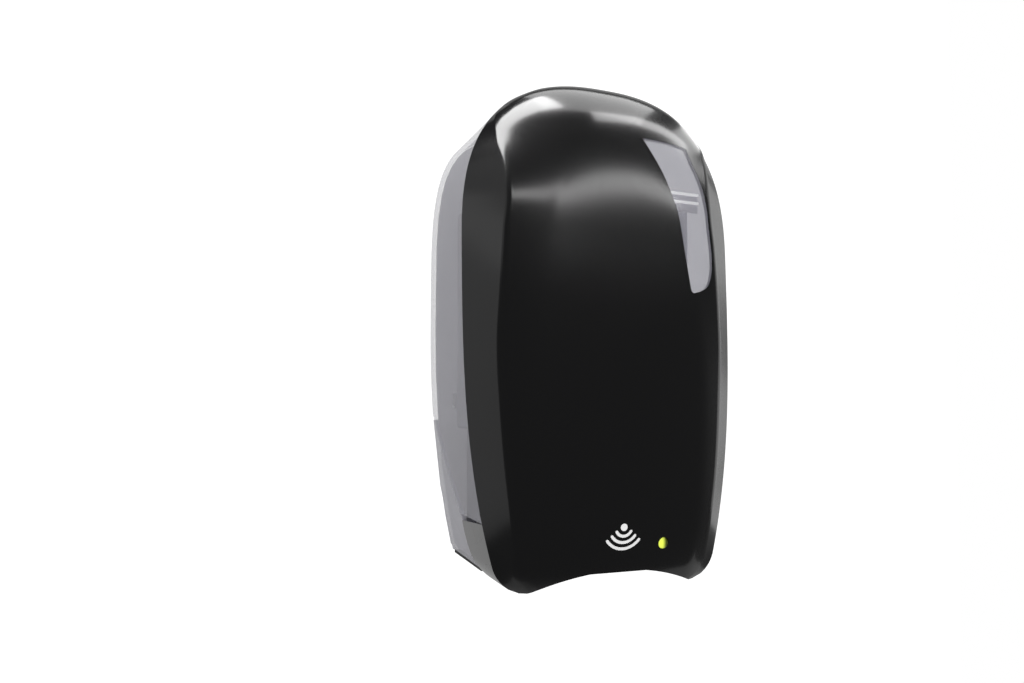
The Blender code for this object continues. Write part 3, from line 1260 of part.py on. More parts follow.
def make_board():
    front = BOARD_BACK + BOARD_WALL
    box_board = box("control_board", (BOARD_LEFT, BOARD_BACK, BOARD_FOOT),
                    (BOARD_RIGHT, front, BOARD_TOP))
    for x, height in board_post_places():
        cut(box_board, rod("board_hole", (x, BOARD_BACK - OVERRUN, height), (x, front + OVERRUN, height),
                           PEG_RADIUS + GAP, 12))
    finish(box_board, (0.02, 0.22, 0.10), 0.45)
    seat = front + GAP
    height = SWITCH_LEVEL
    for name, share in SWITCH_SHARES.items():
        x = BOARD_LEFT + share * BOARD_WIDTH
        half = SWITCH_WIDTH / 2
        rise = SWITCH_HEIGHT / 2
        body = box(f"{name}_switch", (x - half, seat, height - rise),
                   (x + half, seat + SWITCH_DEPTH, height + rise))
        slot = SWITCH_TRAVEL + KNOB_WIDTH / 2 + GAP
        cut(body, box("switch_slot", (x - slot, seat + SWITCH_DEPTH / 2, height - KNOB_HEIGHT / 2 - GAP),
                      (x + slot, seat + SWITCH_DEPTH + OVERRUN, height + KNOB_HEIGHT / 2 + GAP)))
        finish(body, (0.55, 0.55, 0.56), 0.35, 1.0)
        start = seat + SWITCH_DEPTH / 2 + GAP
        knob = box(f"{name}_knob", (x - KNOB_WIDTH / 2, start, height - KNOB_HEIGHT / 2),
                   (x + KNOB_WIDTH / 2, start + SWITCH_DEPTH / 2 + KNOB_REACH, height + KNOB_HEIGHT / 2))
        finish(knob, (0.03, 0.03, 0.03), 0.5)
    chip_x = (BOARD_LEFT + BOARD_RIGHT) / 2
    chip_height = PUMP_HEIGHT - CHIP_SIZE
    chip = box("control_chip", (chip_x - CHIP_SIZE / 2, seat, chip_height - CHIP_SIZE / 2),
               (chip_x + CHIP_SIZE / 2, seat + CHIP_WALL, chip_height + CHIP_SIZE / 2))
    finish(chip, (0.02, 0.02, 0.02), 0.5)
    light = turned("status_light", (LENS_X, seat, LENS_HEIGHT), (0, -1, 0),
                   [(0, LIGHT_LENGTH), (LIGHT_RADIUS * 0.7, LIGHT_LENGTH - LIGHT_RADIUS * 0.3),
                    (LIGHT_RADIUS, LIGHT_LENGTH - LIGHT_RADIUS), (LIGHT_RADIUS, 0), (0, 0)], 16)
    finish(light, (0.45, 0.70, 0.15), 0.2)
    low = lead_height() - PLUG_HEIGHT / 2
    plug = box("lead_socket", (LEAD_X - PLUG_WIDTH / 2, BOARD_BACK - GAP - PLUG_DEPTH, low),
               (LEAD_X + PLUG_WIDTH / 2, BOARD_BACK - GAP, low + PLUG_HEIGHT))
    finish(plug, (0.82, 0.80, 0.74), 0.5)


# Battery box

BOX_ROOM_HALF = CELL_LENGTH + CELL_TIP_LENGTH + BOX_END_ROOM
BOX_HALF_WIDTH = BOX_ROOM_HALF + BOX_WALL


def make_battery_box():
    half = BOX_HALF_WIDTH
    body = box("battery_box", (-half, BOX_BACK, BOX_FOOT), (half, BOX_FRONT, BOX_TOP))
    room = BOX_ROOM_HALF
    cut(body, box("battery_room", (-room, BOX_BACK + BOX_WALL, BOX_FOOT + BOX_WALL),
                  (room, BOX_FRONT + OVERRUN, BOX_TOP - BOX_WALL)))
    finish(body, (0.05, 0.05, 0.055), 0.5)
    number = 0
    for row in range(2):
        depth = CELL_ROW_BACK + row * CELL_ROW_STEP
        facing = 1 if row == 0 else -1
        for side in (-1, 1):
            number += 1
            if facing == side:
                start = side * CELL_SPACING
            else:
                start = side * (CELL_LENGTH + CELL_TIP_LENGTH + CELL_SPACING)
            length = CELL_LENGTH
            full = CELL_LENGTH + CELL_TIP_LENGTH
            cell = turned(f"battery_{number}", (start, depth, CELL_HEIGHT), (facing, 0, 0),
                          [(0, full), (CELL_TIP_RADIUS, full), (CELL_TIP_RADIUS, length),
                           (CELL_RADIUS, length), (CELL_RADIUS, 0), (0, 0)], 20)
            finish(cell, (0.15, 0.16, 0.18), 0.3, 0.6)
    for name, side in (("battery_contact_left", -1), ("battery_contact_right", 1)):
        near = side * (room - GAP - CONTACT_WALL)
        far = side * (room - GAP)
        plate = box(name, (near, CELL_ROW_BACK - CELL_RADIUS / 2, CELL_HEIGHT - CELL_RADIUS / 2),
                    (far, CELL_ROW_BACK + CELL_ROW_STEP + CELL_RADIUS / 2,
                     CELL_HEIGHT + CELL_RADIUS / 2))
        finish(plate, (0.7, 0.68, 0.6), 0.3, 1.0)
    door = box("battery_door", (-half, BOX_FRONT + GAP, BOX_FOOT),
               (half, BOX_FRONT + GAP + DOOR_WALL, BOX_TOP))
    finish(door, (0.05, 0.05, 0.055), 0.5)


# Latch

def make_latch():
    nose_top = catch_foot() - GAP
    stem_top = nose_top - NOSE_HEIGHT
    stem_foot = stem_top - TONGUE_HEIGHT
    tongue = box("latch_tongue", (-TONGUE_HALF_WIDTH, TONGUE_BACK, stem_foot),
                 (TONGUE_HALF_WIDTH, TONGUE_FRONT, stem_top))
    join(tongue, box("latch_nose", (-TONGUE_HALF_WIDTH, TONGUE_FRONT - NOSE_WALL, stem_foot + TONGUE_HEIGHT / 2),
                     (TONGUE_HALF_WIDTH, TONGUE_FRONT, nose_top)))
    finish(tongue, (0.70, 0.70, 0.72), 0.4)
    spring_foot = stem_foot - GAP - SPRING_LENGTH
    guide_foot = spring_foot - GAP - GUIDE_WALL
    outer = TONGUE_HALF_WIDTH + GAP + GUIDE_WALL
    guide = box("latch_guide", (-outer, PLATE_WALL + 2 * GAP, guide_foot),
                (outer, TONGUE_FRONT, stem_foot + TONGUE_HEIGHT / 2))
    cut(guide, box("guide_room", (-TONGUE_HALF_WIDTH - GAP, TONGUE_BACK - GAP, guide_foot + GUIDE_WALL),
                   (TONGUE_HALF_WIDTH + GAP, TONGUE_FRONT + OVERRUN, stem_foot + TONGUE_HEIGHT)))
    finish(guide, (0.50, 0.50, 0.53), 0.4)
    middle = (TONGUE_BACK + TONGUE_FRONT) / 2
    total = SPRING_TURNS * SPRING_POINTS
    rise = SPRING_LENGTH - 2 * SPRING_WIRE
    places = []
    for step in range(total + 1):
        angle = 2 * math.pi * step / SPRING_POINTS
        places.append((SPRING_RADIUS * math.cos(angle), middle + SPRING_RADIUS * math.sin(angle),
                       spring_foot + SPRING_WIRE + rise * step / total))
    finish(tube("latch_spring", places, SPRING_WIRE, 1), (0.6, 0.6, 0.6), 0.3, 1.0)
    print("latch spring, gap between turns:", rise / SPRING_TURNS - 2 * SPRING_WIRE)


# Screws and leads

def make_wall_screws():
    """Round-headed screws; each head's underside stands on the back plate."""
    number = 0
    for height in WALL_SCREW_HEIGHTS:
        for side in (-1, 1):
            number += 1
            profile = [(0, WALL_SCREW_HEAD), (WALL_SCREW_HEAD_RADIUS / 2, WALL_SCREW_HEAD),
                       (WALL_SCREW_HEAD_RADIUS, WALL_SCREW_HEAD / 3), (WALL_SCREW_HEAD_RADIUS, 0),
                       (WALL_SCREW_RADIUS, 0), (WALL_SCREW_RADIUS, -PLATE_WALL),
                       (0, -PLATE_WALL)]
            bolt = turned(f"wall_screw_{number}", (side * WALL_SCREW_X, PLATE_WALL + GAP, height),
                          (0, -1, 0), profile, 16)
            finish(bolt, (0.65, 0.65, 0.66), 0.3, 1.0)


def lead_height():
    """Height at which the leads pass over the gearbox to the socket behind the board."""
    high = case_corners()[1]
    return (high[1] + CHASSIS_TOP - CHASSIS_WALL) / 2


def make_leads(motor_back):
    """Battery lead down behind the tank and over the gearbox; motor lead from the end cap."""
    behind = (PLATE_WALL + TANK_BACK) / 2
    over = lead_height()
    end = BOARD_BACK - 2 * GAP - PLUG_DEPTH
    beside = LEAD_X + 4 * LEAD_RADIUS
    back = motor_back - PLUG_HEIGHT
    battery = [(LEAD_X, behind, BOX_FOOT - GAP), (LEAD_X, behind, over), (LEAD_X, end, over)]
    motor = [(PINION_AXIS[0], motor_back - GAP, PINION_AXIS[1]), (PINION_AXIS[0], back, PINION_AXIS[1]),
             (beside, back, over), (beside, end, over)]
    finish(tube("battery_lead", battery, LEAD_RADIUS, 1), (0.5, 0.03, 0.03), 0.5)
    finish(tube("motor_lead", motor, LEAD_RADIUS, 1), (0.03, 0.03, 0.35), 0.5)


make_front_cover()
make_side_shell()
make_window()
make_lens()
make_label()
make_back_plate()
make_floor()
make_chassis()
make_hinge_pins()
make_tank()
make_cap()
SPOUT_FOOT = make_spout()
make_pump_housing()
make_pump_cover()
make_rotor()
make_tube(SPOUT_FOOT)
make_gears()
make_gearbox()
MOTOR_BACK = make_motor()
make_nozzle()
make_sensor()
make_board()
make_battery_box()
make_latch()
make_wall_screws()
make_leads(MOTOR_BACK)
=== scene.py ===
"""Looks of a touch-free wall soap dispenser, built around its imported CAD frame."""
from math import acos, atan2, cos, degrees, pi, radians, sin, sqrt

import bmesh
import bpy
from bpy.props import FloatProperty, IntProperty, PointerProperty, StringProperty
from bpy.types import Operator, Panel, PropertyGroup
from mathutils import Matrix, Quaternion, Vector


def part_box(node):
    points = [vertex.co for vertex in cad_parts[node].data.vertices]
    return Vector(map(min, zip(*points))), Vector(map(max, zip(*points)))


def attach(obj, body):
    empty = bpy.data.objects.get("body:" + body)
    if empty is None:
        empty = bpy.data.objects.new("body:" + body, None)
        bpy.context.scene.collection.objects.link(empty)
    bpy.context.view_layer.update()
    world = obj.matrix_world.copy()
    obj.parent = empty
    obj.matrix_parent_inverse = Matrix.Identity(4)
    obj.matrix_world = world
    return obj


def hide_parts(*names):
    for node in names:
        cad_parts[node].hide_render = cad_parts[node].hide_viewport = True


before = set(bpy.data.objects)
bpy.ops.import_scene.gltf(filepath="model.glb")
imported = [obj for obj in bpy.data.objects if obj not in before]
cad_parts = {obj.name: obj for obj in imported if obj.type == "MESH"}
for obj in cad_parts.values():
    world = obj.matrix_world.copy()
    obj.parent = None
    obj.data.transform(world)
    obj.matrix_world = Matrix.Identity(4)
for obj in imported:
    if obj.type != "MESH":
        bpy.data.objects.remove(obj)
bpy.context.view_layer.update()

bl_info = {
    "name": "Touch-free soap dispenser",
    "version": (1, 0, 0),
    "blender": (4, 5, 0),
    "location": "3D View > Sidebar > Dispenser",
    "description": "Builds the cover, shell, window and inner pieces of a wall soap dispenser",
    "category": "Object",
}

MM = 0.001
UP, FORWARD = (0, 0, 1), (0, -1, 0)
# Corners closer than this are one corner
WELD = 0.001 * MM
# Edges sharper than this are shaded sharp
SHARP_ANGLE = radians(32)
# How far cutting shapes reach past the body
OVERRUN = 5 * MM


def box_size(node, axis):
    """Size of a CAD piece along X, Y or Z (0, 1 or 2)."""
    low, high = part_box(node)
    return high[axis] - low[axis]


BODY_HEIGHT = box_size("front_cover", 2)
ORIGIN_HEIGHT = BODY_HEIGHT / 2
BODY_HALF_WIDTH = 81.3 * MM
BODY_DEPTH = 118 * MM


# Sizes and colours that a user would change

class CoverSettings(PropertyGroup):
    """Black front cover, its mark and its lens."""
    wall: FloatProperty(name="Wall", description="Wall of the black cover",
                        default=2.4 * MM, min=1 * MM, unit="LENGTH")
    black: StringProperty(name="Black", description="Hex colour of the black plastic",
                          default="#0b0b0c")
    gloss: FloatProperty(name="Roughness", description="Roughness of the black plastic",
                         default=0.27, min=0, max=1, subtype="FACTOR")
    cells: IntProperty(name="Cells", description="Mesh cells up the cover", default=150, min=40)
    ink: StringProperty(name="Ink", description="Hex colour of the printed mark",
                        default="#ffffff")
    stroke: FloatProperty(name="Stroke", description="Stroke of the arcs in the mark",
                          default=1.55 * MM, unit="LENGTH")
    lens: StringProperty(name="Lens", description="Hex colour of the status lens",
                         default="#b4c437")


class ShellSettings(PropertyGroup):
    """Clear grey shell, window and rear housing."""
    wall: FloatProperty(name="Wall", description="Wall of the clear shell",
                        default=2.2 * MM, min=1 * MM, unit="LENGTH")
    smoke: StringProperty(name="Smoke grey", description="Hex colour of the clear grey shell",
                          default="#d3d2db")
    clearness: FloatProperty(name="Clearness", description="Share of light that passes a face",
                             default=0.52, min=0, max=1, subtype="FACTOR")
    window_wall: FloatProperty(name="Window wall", description="Wall of the level window",
                               default=2.0 * MM, unit="LENGTH")


class InnerSettings(PropertyGroup):
    """Tank, cap, screws and the other pieces inside."""
    tank: StringProperty(name="Tank", description="Hex colour of the milky tank",
                         default="#dcdce2")
    rib: FloatProperty(name="Cap rib", description="Depth of the grip ribs on the tank cap",
                       default=0.6 * MM, unit="LENGTH")
    ribs: IntProperty(name="Cap ribs", description="Number of grip ribs on the tank cap",
                      default=36, min=12)


class StageSettings(PropertyGroup):
    """Lights, floor and camera."""
    lens: FloatProperty(name="Lens", description="Focal length on a 36 mm wide sensor",
                        default=26.23, min=10)
    distance: FloatProperty(name="Distance", description="Camera distance from the aim point",
                            default=0.4774, unit="LENGTH")
    azimuth: FloatProperty(name="Azimuth", description="Turn of the camera from the front",
                           default=radians(21.46), subtype="ANGLE")
    lift: FloatProperty(name="Lift", description="Elevation of the camera over the aim point",
                        default=radians(-2.2), subtype="ANGLE")
    floor_drop: FloatProperty(name="Floor drop", description="Floor below the origin",
                              default=0.75, unit="LENGTH")


SETTINGS = {"cover": CoverSettings, "shell": ShellSettings, "inner": InnerSettings,
            "stage": StageSettings}


def settings(group):
    return getattr(bpy.context.scene, f"dispenser_{group}")


# Outer form: the same shares and curves as the solids, but for fuller shoulders

ARCH_START, ARCH_POWER = 185 * MM, 2.6
# Half width, start and power of the arch, and inset and power of the waist, at seam and back
SEAM_SIDE = (BODY_HALF_WIDTH, ARCH_START, ARCH_POWER, 19 * MM, 3)
BACK_SIDE = (79.3 * MM, 150 * MM, 4.2, 16 * MM, 2.2)
CORNER_RISE, CORNER_REACH = 14 * MM, 12 * MM
# Depth of the seam between cover and shell at the foot, and how much it loses to the top, in mm
SEAM_FOOT, SEAM_LEAN = 97.5, 11.7
CHEEK_REACH = 15 * MM
# Slope of the front beside the crease, and how much of it fades out below the dome
SLANT, SLANT_LOSS = 0.25, 0.2
CREASE_FADE, CREASE_END = 105 * MM, 205 * MM
CREASE_BLEND = 4 * MM
# Twice the radius of the bow of the front from side to side
BOW = 600 * MM
DOME_START, DOME_END, DOME_POWER = 199 * MM, 244 * MM, 3.8
FACE = ((0, 0.89), (0.043, 0.936), (0.108, 0.975), (0.198, 0.996), (0.36, 1),
        (0.54, 0.992), (0.684, 0.97), (0.828, 0.949), (1, 0.932))
CHEEK = ((0, 0.467), (0.054, 0.667), (0.122, 0.867), (0.234, 0.96), (0.342, 1), (0.468, 1),
         (0.565, 1.133), (0.68, 1.293), (0.737, 1.367), (0.799, 1.153), (0.86, 0.627),
         (0.921, 0.04), (1, 0.02))
CREASE = ((0, 0.566), (0.216, 0.603), (0.432, 0.615), (0.54, 0.584), (0.619, 0.553),
          (0.677, 0.529), (0.734, 0.48), (0.774, 0.424), (0.817, 0.357), (0.868, 0.271),
          (0.893, 0.209), (1, 0.18))
WINDOW = ((0.189, 0.883), (0.390, 0.886), (0.565, 0.885), (0.590, 0.879), (0.627, 0.854),
          (0.686, 0.813), (0.712, 0.769), (0.722, 0.717), (0.740, 0.662), (0.735, 0.629),
          (0.711, 0.605), (0.673, 0.591), (0.600, 0.581), (0.548, 0.577), (0.532, 0.580),
          (0.525, 0.588), (0.496, 0.642), (0.451, 0.728), (0.408, 0.767), (0.338, 0.814),
          (0.242, 0.860))


def place(x, depth, height):
    return Vector((x, -depth, height - ORIGIN_HEIGHT))


def smooth_share(table, share):
    """Value of a table of shares along a smooth curve through its points."""
    if share <= table[0][0]:
        return table[0][1]
    if share >= table[-1][0]:
        return table[-1][1]
    index = next(i for i in range(len(table) - 1) if share <= table[i + 1][0])

    def slope(i):
        before, after = table[max(i - 1, 0)], table[min(i + 1, len(table) - 1)]
        return (after[1] - before[1]) / (after[0] - before[0])

    (start, low), (end, high) = table[index], table[index + 1]
    span = end - start
    t = (share - start) / span
    return ((2 * t ** 3 - 3 * t ** 2 + 1) * low + (t ** 3 - 2 * t ** 2 + t) * span * slope(index)
            + (3 * t ** 2 - 2 * t ** 3) * high + (t ** 3 - t ** 2) * span * slope(index + 1))


def arch(share, power):
    return max(0.0, 1 - min(share, 1.0) ** power) ** (1 / power)


def corner_inset(height):
    share = min(1.0, max(0.0, 1 - height / CORNER_RISE))
    return CORNER_REACH * (1 - sqrt(1 - share ** 2))


def half_width(height, widest, arch_start, arch_power, inset, waist_power):
    """Half width at a height: an arch at the top, drawn in to a waist below it."""
    if height >= arch_start:
        return widest * arch((height - arch_start) / (BODY_HEIGHT - arch_start), arch_power)
    return widest - inset * (1 - height / arch_start) ** waist_power - corner_inset(height)


def seam_half_width(height):
    return half_width(height, *SEAM_SIDE)


def seam_depth(height):
    return (SEAM_FOOT - SEAM_LEAN * height / BODY_HEIGHT) * MM


def side_half_width(height, depth):
    share = depth / seam_depth(height)
    return half_width(height, *BACK_SIDE) * (1 - share) + seam_half_width(height) * share


def crease_half_width(height):
    return BODY_HALF_WIDTH * smooth_share(CREASE, height / BODY_HEIGHT)


def fold_half_width(height):
    cheek = CHEEK_REACH * smooth_share(CHEEK, height / BODY_HEIGHT)
    return max(seam_half_width(height) - cheek, 0.0)


def eased(value, start, end):
    """Share from 0 at the start to 1 at the end, with a soft start and end."""
    share = min(1.0, max(0.0, (value - start) / (end - start)))
    return share ** 2 * (3 - 2 * share)


def front_depth(x, height):
    """Distance of the front from the wall, between the two folds."""
    x = abs(x)
    over = x - crease_half_width(height)
    slant = SLANT - SLANT_LOSS * eased(height, CREASE_FADE, CREASE_END)
    fall = 0.0 if over <= -CREASE_BLEND else slant * over
    if abs(over) < CREASE_BLEND:
        fall = slant * (over + CREASE_BLEND) ** 2 / (4 * CREASE_BLEND)
    depth = BODY_DEPTH * smooth_share(FACE, height / BODY_HEIGHT) - x ** 2 / BOW - fall
    rise = max(0.0, (height - ARCH_START) / (BODY_HEIGHT - ARCH_START))
    sideways = eased(height, DOME_START, DOME_END) * (x / BODY_HALF_WIDTH) ** ARCH_POWER
    reach = min(1.0, (sideways + rise ** ARCH_POWER) ** (1 / ARCH_POWER))
    seam = seam_depth(height)
    return seam + (depth - seam) * sqrt(max(0.0, 1 - reach ** DOME_POWER))


# Mesh helpers

def new_object(name, shape):
    """Close a bmesh into a named object at the origin, shaded smooth but for its sharp edges."""
    mesh = bpy.data.meshes.new(name)
    shape.to_mesh(mesh)
    shape.free()
    obj = bpy.data.objects.new(name, mesh)
    bpy.context.scene.collection.objects.link(obj)
    smooth(obj)
    return obj


def smooth(obj):
    obj.data.shade_smooth()
    obj.data.set_sharp_from_angle(angle=SHARP_ANGLE)


def combine(target, tool, operation="DIFFERENCE"):
    """Cut, keep or join with another object, and take that object away."""
    modifier = target.modifiers.new("shape", "BOOLEAN")
    modifier.operation = operation
    modifier.solver = "EXACT"
    modifier.object = tool
    bpy.context.view_layer.update()
    evaluated = target.evaluated_get(bpy.context.evaluated_depsgraph_get())
    mesh = bpy.data.meshes.new_from_object(evaluated)
    target.modifiers.clear()
    target.data = mesh
    bpy.data.objects.remove(tool)
    smooth(target)


def corners_of(result):
    """The corners among what a bmesh operator made."""
    return [item for item in result["geom"] if isinstance(item, bmesh.types.BMVert)]


def prism(name, points, along):
    """A closed prism from an outline of points, grown along a vector."""
    shape = bmesh.new()
    face = shape.faces.new([shape.verts.new(point) for point in points])
    grown = bmesh.ops.extrude_face_region(shape, geom=[face])
    bmesh.ops.translate(shape, verts=corners_of(grown), vec=along)
    face_out(shape)
    return new_object(name, shape)


def front_prism(name, loop, back, front):
    return prism(name, [place(x, back, height) for x, height in loop], Vector((0, back - front, 0)))


def side_prism(name, loop):
    half = BODY_HALF_WIDTH + OVERRUN
    return prism(name, [place(-half, depth, height) for depth, height in loop],
                 Vector((2 * half, 0, 0)))


def arc(centre, radius, first, last, steps):
    points = []
    for step in range(steps + 1):
        angle = radians(first + (last - first) * step / steps)
        points.append((centre[0] + radius * cos(angle), centre[1] + radius * sin(angle)))
    return points


def inset_loop(points, distance):
    """A clockwise outline moved inwards by a distance."""
    moved = []
    for index, point in enumerate(points):
        here = Vector(point)
        first = (here - Vector(points[index - 1])).normalized()
        second = (Vector(points[(index + 1) % len(points)]) - here).normalized()
        middle = (first + second).normalized()
        inwards = Vector((middle.y, -middle.x))
        moved.append(tuple(here + inwards * distance / max(first.dot(middle), 0.5)))
    return moved


def rounded_loop(points, steps=4):
    """The outline made finer along a smooth curve, except at its sharp corners."""
    fine = []
    count = len(points)
    for index in range(count):
        p0, p1, p2, p3 = (Vector(points[(index + k) % count]) for k in (-1, 0, 1, 2))
        sharp = (p1 - p0).angle(p2 - p1) > 0.7 or (p2 - p1).angle(p3 - p2) > 0.7
        for step in range(steps):
            t = step / steps
            straight = p1.lerp(p2, t)
            curved = 0.5 * (2 * p1 + (p2 - p0) * t + (2 * p0 - 5 * p1 + 4 * p2 - p3) * t ** 2
                            + (3 * p1 - p0 - 3 * p2 + p3) * t ** 3)
            fine.append(tuple(straight if sharp else curved))
    return fine


def face_out(shape):
    bmesh.ops.recalc_face_normals(shape, faces=shape.faces)


def sheet(across, up, where):
    """A grid of cells whose corners are put where a function of two shares says."""
    shape = bmesh.new()
    bmesh.ops.create_grid(shape, x_segments=across, y_segments=up, size=0.5)
    for vert in shape.verts:
        vert.co = where(vert.co.x + 0.5, vert.co.y + 0.5)
    bmesh.ops.remove_doubles(shape, verts=shape.verts, dist=WELD)
    return shape


def thicken(shape, move):
    """Grow an open sheet into a closed wall: the copy of each corner goes where move says."""
    grown = bmesh.ops.extrude_face_region(shape, geom=shape.faces[:], use_keep_orig=True)
    for corner in corners_of(grown):
        corner.co = move(corner.co)
    face_out(shape)


def drawn_in(wall):
    """The move that draws a corner of the outer form in by a wall, as in the solids."""
    across, forward = 1 - wall / BODY_HALF_WIDTH, 1 - wall / BODY_DEPTH
    upward = 1 - wall / BODY_HEIGHT

    def move(point):
        return Vector((point.x * across, point.y * forward,
                       (point.z + ORIGIN_HEIGHT) * upward - ORIGIN_HEIGHT))

    return move


def turned(name, centre, axis, profile, steps=48):
    """A turned piece: a closed profile of (radius, distance) spun round an axis."""
    shape = bmesh.new()
    corners = [shape.verts.new((radius, 0, along)) for radius, along in profile]
    edges = [shape.edges.new(pair) for pair in zip(corners, corners[1:] + corners[:1])
             if pair[0].co.x > 0 or pair[1].co.x > 0]
    bmesh.ops.spin(shape, geom=corners + edges, cent=(0, 0, 0), axis=UP, angle=2 * pi,
                   steps=steps, use_merge=True)
    bmesh.ops.remove_doubles(shape, verts=shape.verts, dist=WELD)
    face_out(shape)
    turn = Vector(axis).to_track_quat("Z", "Y").to_matrix().to_4x4()
    bmesh.ops.transform(shape, matrix=Matrix.Translation(centre) @ turn, verts=shape.verts)
    return new_object(name, shape)


def tube(name, centre, axis, inner, outer, length, steps):
    """A round tube along an axis, or a rod when its bore is 0."""
    return turned(name, centre, axis, [(inner, 0), (outer, 0), (outer, length), (inner, length)], steps)


def round_edges(shape, edges, radius, segments):
    bmesh.ops.bevel(shape, geom=edges, offset=radius, segments=segments, affect="EDGES", profile=0.5,
                    material=-1)


def blocks(boxes, radius=0.0, segments=3):
    """Bmesh boxes, each between two corners, with all their edges rounded."""
    shape = bmesh.new()
    for low, high in boxes:
        size, middle = Vector(high) - Vector(low), (Vector(high) + Vector(low)) / 2
        bmesh.ops.create_cube(shape, size=1, matrix=Matrix.Translation(middle)
                              @ Matrix.Diagonal((*size, 1)))
    if radius:
        round_edges(shape, shape.edges[:], radius, segments)
    return shape


def block(name, low, high, radius=0.0, segments=3):
    return new_object(name, blocks([(low, high)], radius, segments))


def mm(*pairs):
    """Pairs of sizes given in millimetres."""
    return [(first * MM, second * MM) for first, second in pairs]


def slab(x, depth, height, size):
    """Corners of a box in millimetres: its middle across and up, its back, and its size."""
    wide, thick, tall = size
    return (place((x - wide / 2) * MM, (depth + thick) * MM, (height - tall / 2) * MM),
            place((x + wide / 2) * MM, depth * MM, (height + tall / 2) * MM))


def stud(name, x, depth, height, profile, steps=24):
    """A turned piece that stands forward from a place in millimetres."""
    return turned(name, place(x * MM, depth * MM, height * MM), FORWARD, profile, steps)


def middle_of(node, y):
    """Middle of a CAD piece as seen from the front, at a place along Y."""
    low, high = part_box(node)
    return Vector(((low.x + high.x) / 2, y, (low.z + high.z) / 2))


def dress(obj, key):
    obj.data.materials.clear()
    obj.data.materials.append(finish(key))


def fit_out(obj, body, slot, key, *replaced):
    """Put a finished piece on its body, in its finish; the slot it is given is not used."""
    if not obj.data.polygons:
        raise RuntimeError(f"{obj.name} has no faces")
    dress(obj, key)
    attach(obj, body)
    if replaced:
        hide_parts(*replaced)


def fit_blocks(name, boxes, radius, slot, key, body="housing", segments=2):
    """Make and fit out a piece of boxes whose edges are rounded by a radius in millimetres."""
    fit_out(new_object(name, blocks(boxes, radius * MM, segments)), body, slot, key)


# Material helpers

# Size of the clouds in which a roughness changes
CLOUD_MM = 35


def linear(hex_colour):
    """Linear colour of an sRGB hex value."""
    parts = [int(hex_colour[i:i + 2], 16) / 255 for i in (1, 3, 5)]
    return (*[p / 12.92 if p <= 0.04045 else ((p + 0.055) / 1.055) ** 2.4 for p in parts], 1)


def feed(node, sockets):
    """Give each socket of a node its value, or its link when the value is another socket."""
    for name, value in sockets.items():
        if isinstance(value, bpy.types.NodeSocket):
            node.id_data.links.new(value, node.inputs[name])
        else:
            node.inputs[name].default_value = value


def add(tree, kind, sockets=None, **attributes):
    """Add a shader node with its attributes, its socket values and its links."""
    node = tree.nodes.new("ShaderNode" + kind)
    for name, value in attributes.items():
        setattr(node, name, value)
    feed(node, sockets or {})
    return node


def finish_of(name, colour, roughness, grain_mm, relief_mm, uneven=0.05, shade=0.06, **sockets):
    """A plain finish with grain: slightly uneven colour and roughness, and a fine relief."""
    material = bpy.data.materials.new(name)
    material.use_nodes = True
    tree, shader = material.node_tree, material.node_tree.nodes["Principled BSDF"]
    where = add(tree, "TexCoord").outputs["Object"]
    grain = add(tree, "TexNoise", {"Scale": 1 / (grain_mm * MM), "Detail": 4.0, "Vector": where})
    cloud = add(tree, "TexNoise", {"Scale": 1 / (CLOUD_MM * MM), "Detail": 2.0, "Vector": where})
    rough = add(tree, "MapRange", {"From Min": 0.3, "From Max": 0.7, "Value": cloud.outputs["Fac"],
                                   "To Min": max(roughness - uneven, 0.02),
                                   "To Max": roughness + uneven})
    base = linear(colour)[:3]
    tone = add(tree, "Mix", {0: grain.outputs["Fac"], 6: (*[part * (1 - shade) for part in base], 1),
                             7: (*[min(part * (1 + shade), 1) for part in base], 1)},
               data_type="RGBA")
    relief = add(tree, "Bump", {"Strength": 0.5, "Distance": relief_mm * MM,
                                "Height": grain.outputs["Fac"]})
    feed(shader, {socket.replace("_", " "): value for socket, value in sockets.items()})
    feed(shader, {"Roughness": rough.outputs["Result"], "Base Color": tone.outputs[2],
                  "Normal": relief.outputs["Normal"]})
    return material


def inside(material):
    """Node tree of a finish, its main shader and its Object coordinates."""
    tree = material.node_tree
    return tree, tree.nodes["Principled BSDF"], tree.nodes["Texture Coordinate"].outputs["Object"]


def black_abs():
    # Polished moulded ABS: a clear sheen over black, with a faint orange-peel relief
    cover = settings("cover")
    return finish_of("black_moulded_abs", cover.black, cover.gloss, 0.7, 0.004, 0.02, 0.1,
                     Specular_IOR_Level=0.1, Coat_Weight=1.0, Coat_Roughness=0.14, Coat_IOR=1.55)


def smoke_plastic(name, more, colour):
    # Smoke-grey SAN: light passes, edges look brighter and the pieces behind show softly
    return finish_of(name, colour, 0.18, 1.2, 0.004, 0.03, 0.04,
                     IOR=1.56, Alpha=1 - settings("shell").clearness - more)


def lens_acrylic():
    # Tinted acrylic light pipe with painted light: a painted glow, brighter on one side, and its colour
    # painted darker on the other side as painted shade
    colour = settings("cover").lens
    material = finish_of("green_tinted_acrylic", colour, 0.12, 1.5, 0.002, IOR=1.49)
    tree, shader, where = inside(material)
    low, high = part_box("status_lens")
    middle = (low.x + high.x) / 2
    split = add(tree, "SeparateXYZ", {"Vector": where})
    # Painted highlight: the glow is strongest on one side of the lens and fades across it
    painted_light_ramp = add(tree, "MapRange",
               {"Value": split.outputs["X"], "From Min": middle - 1.2 * MM,
                "From Max": middle + 1.8 * MM, "To Min": 0.9, "To Max": 0.02},
               interpolation_type="SMOOTHSTEP")
    glow = painted_light_ramp.outputs["Result"]
    # Painted shade: the colour darkens to near black where the painted glow fades
    painted_light_tint = add(tree, "Mix", {0: glow, 6: linear("#2e3410"), 7: linear(colour)}, data_type="RGBA")
    feed(shader, {"Emission Color": linear("#d3e05a"), "Emission Strength": glow,
                  "Base Color": painted_light_tint.outputs[2]})
    return material


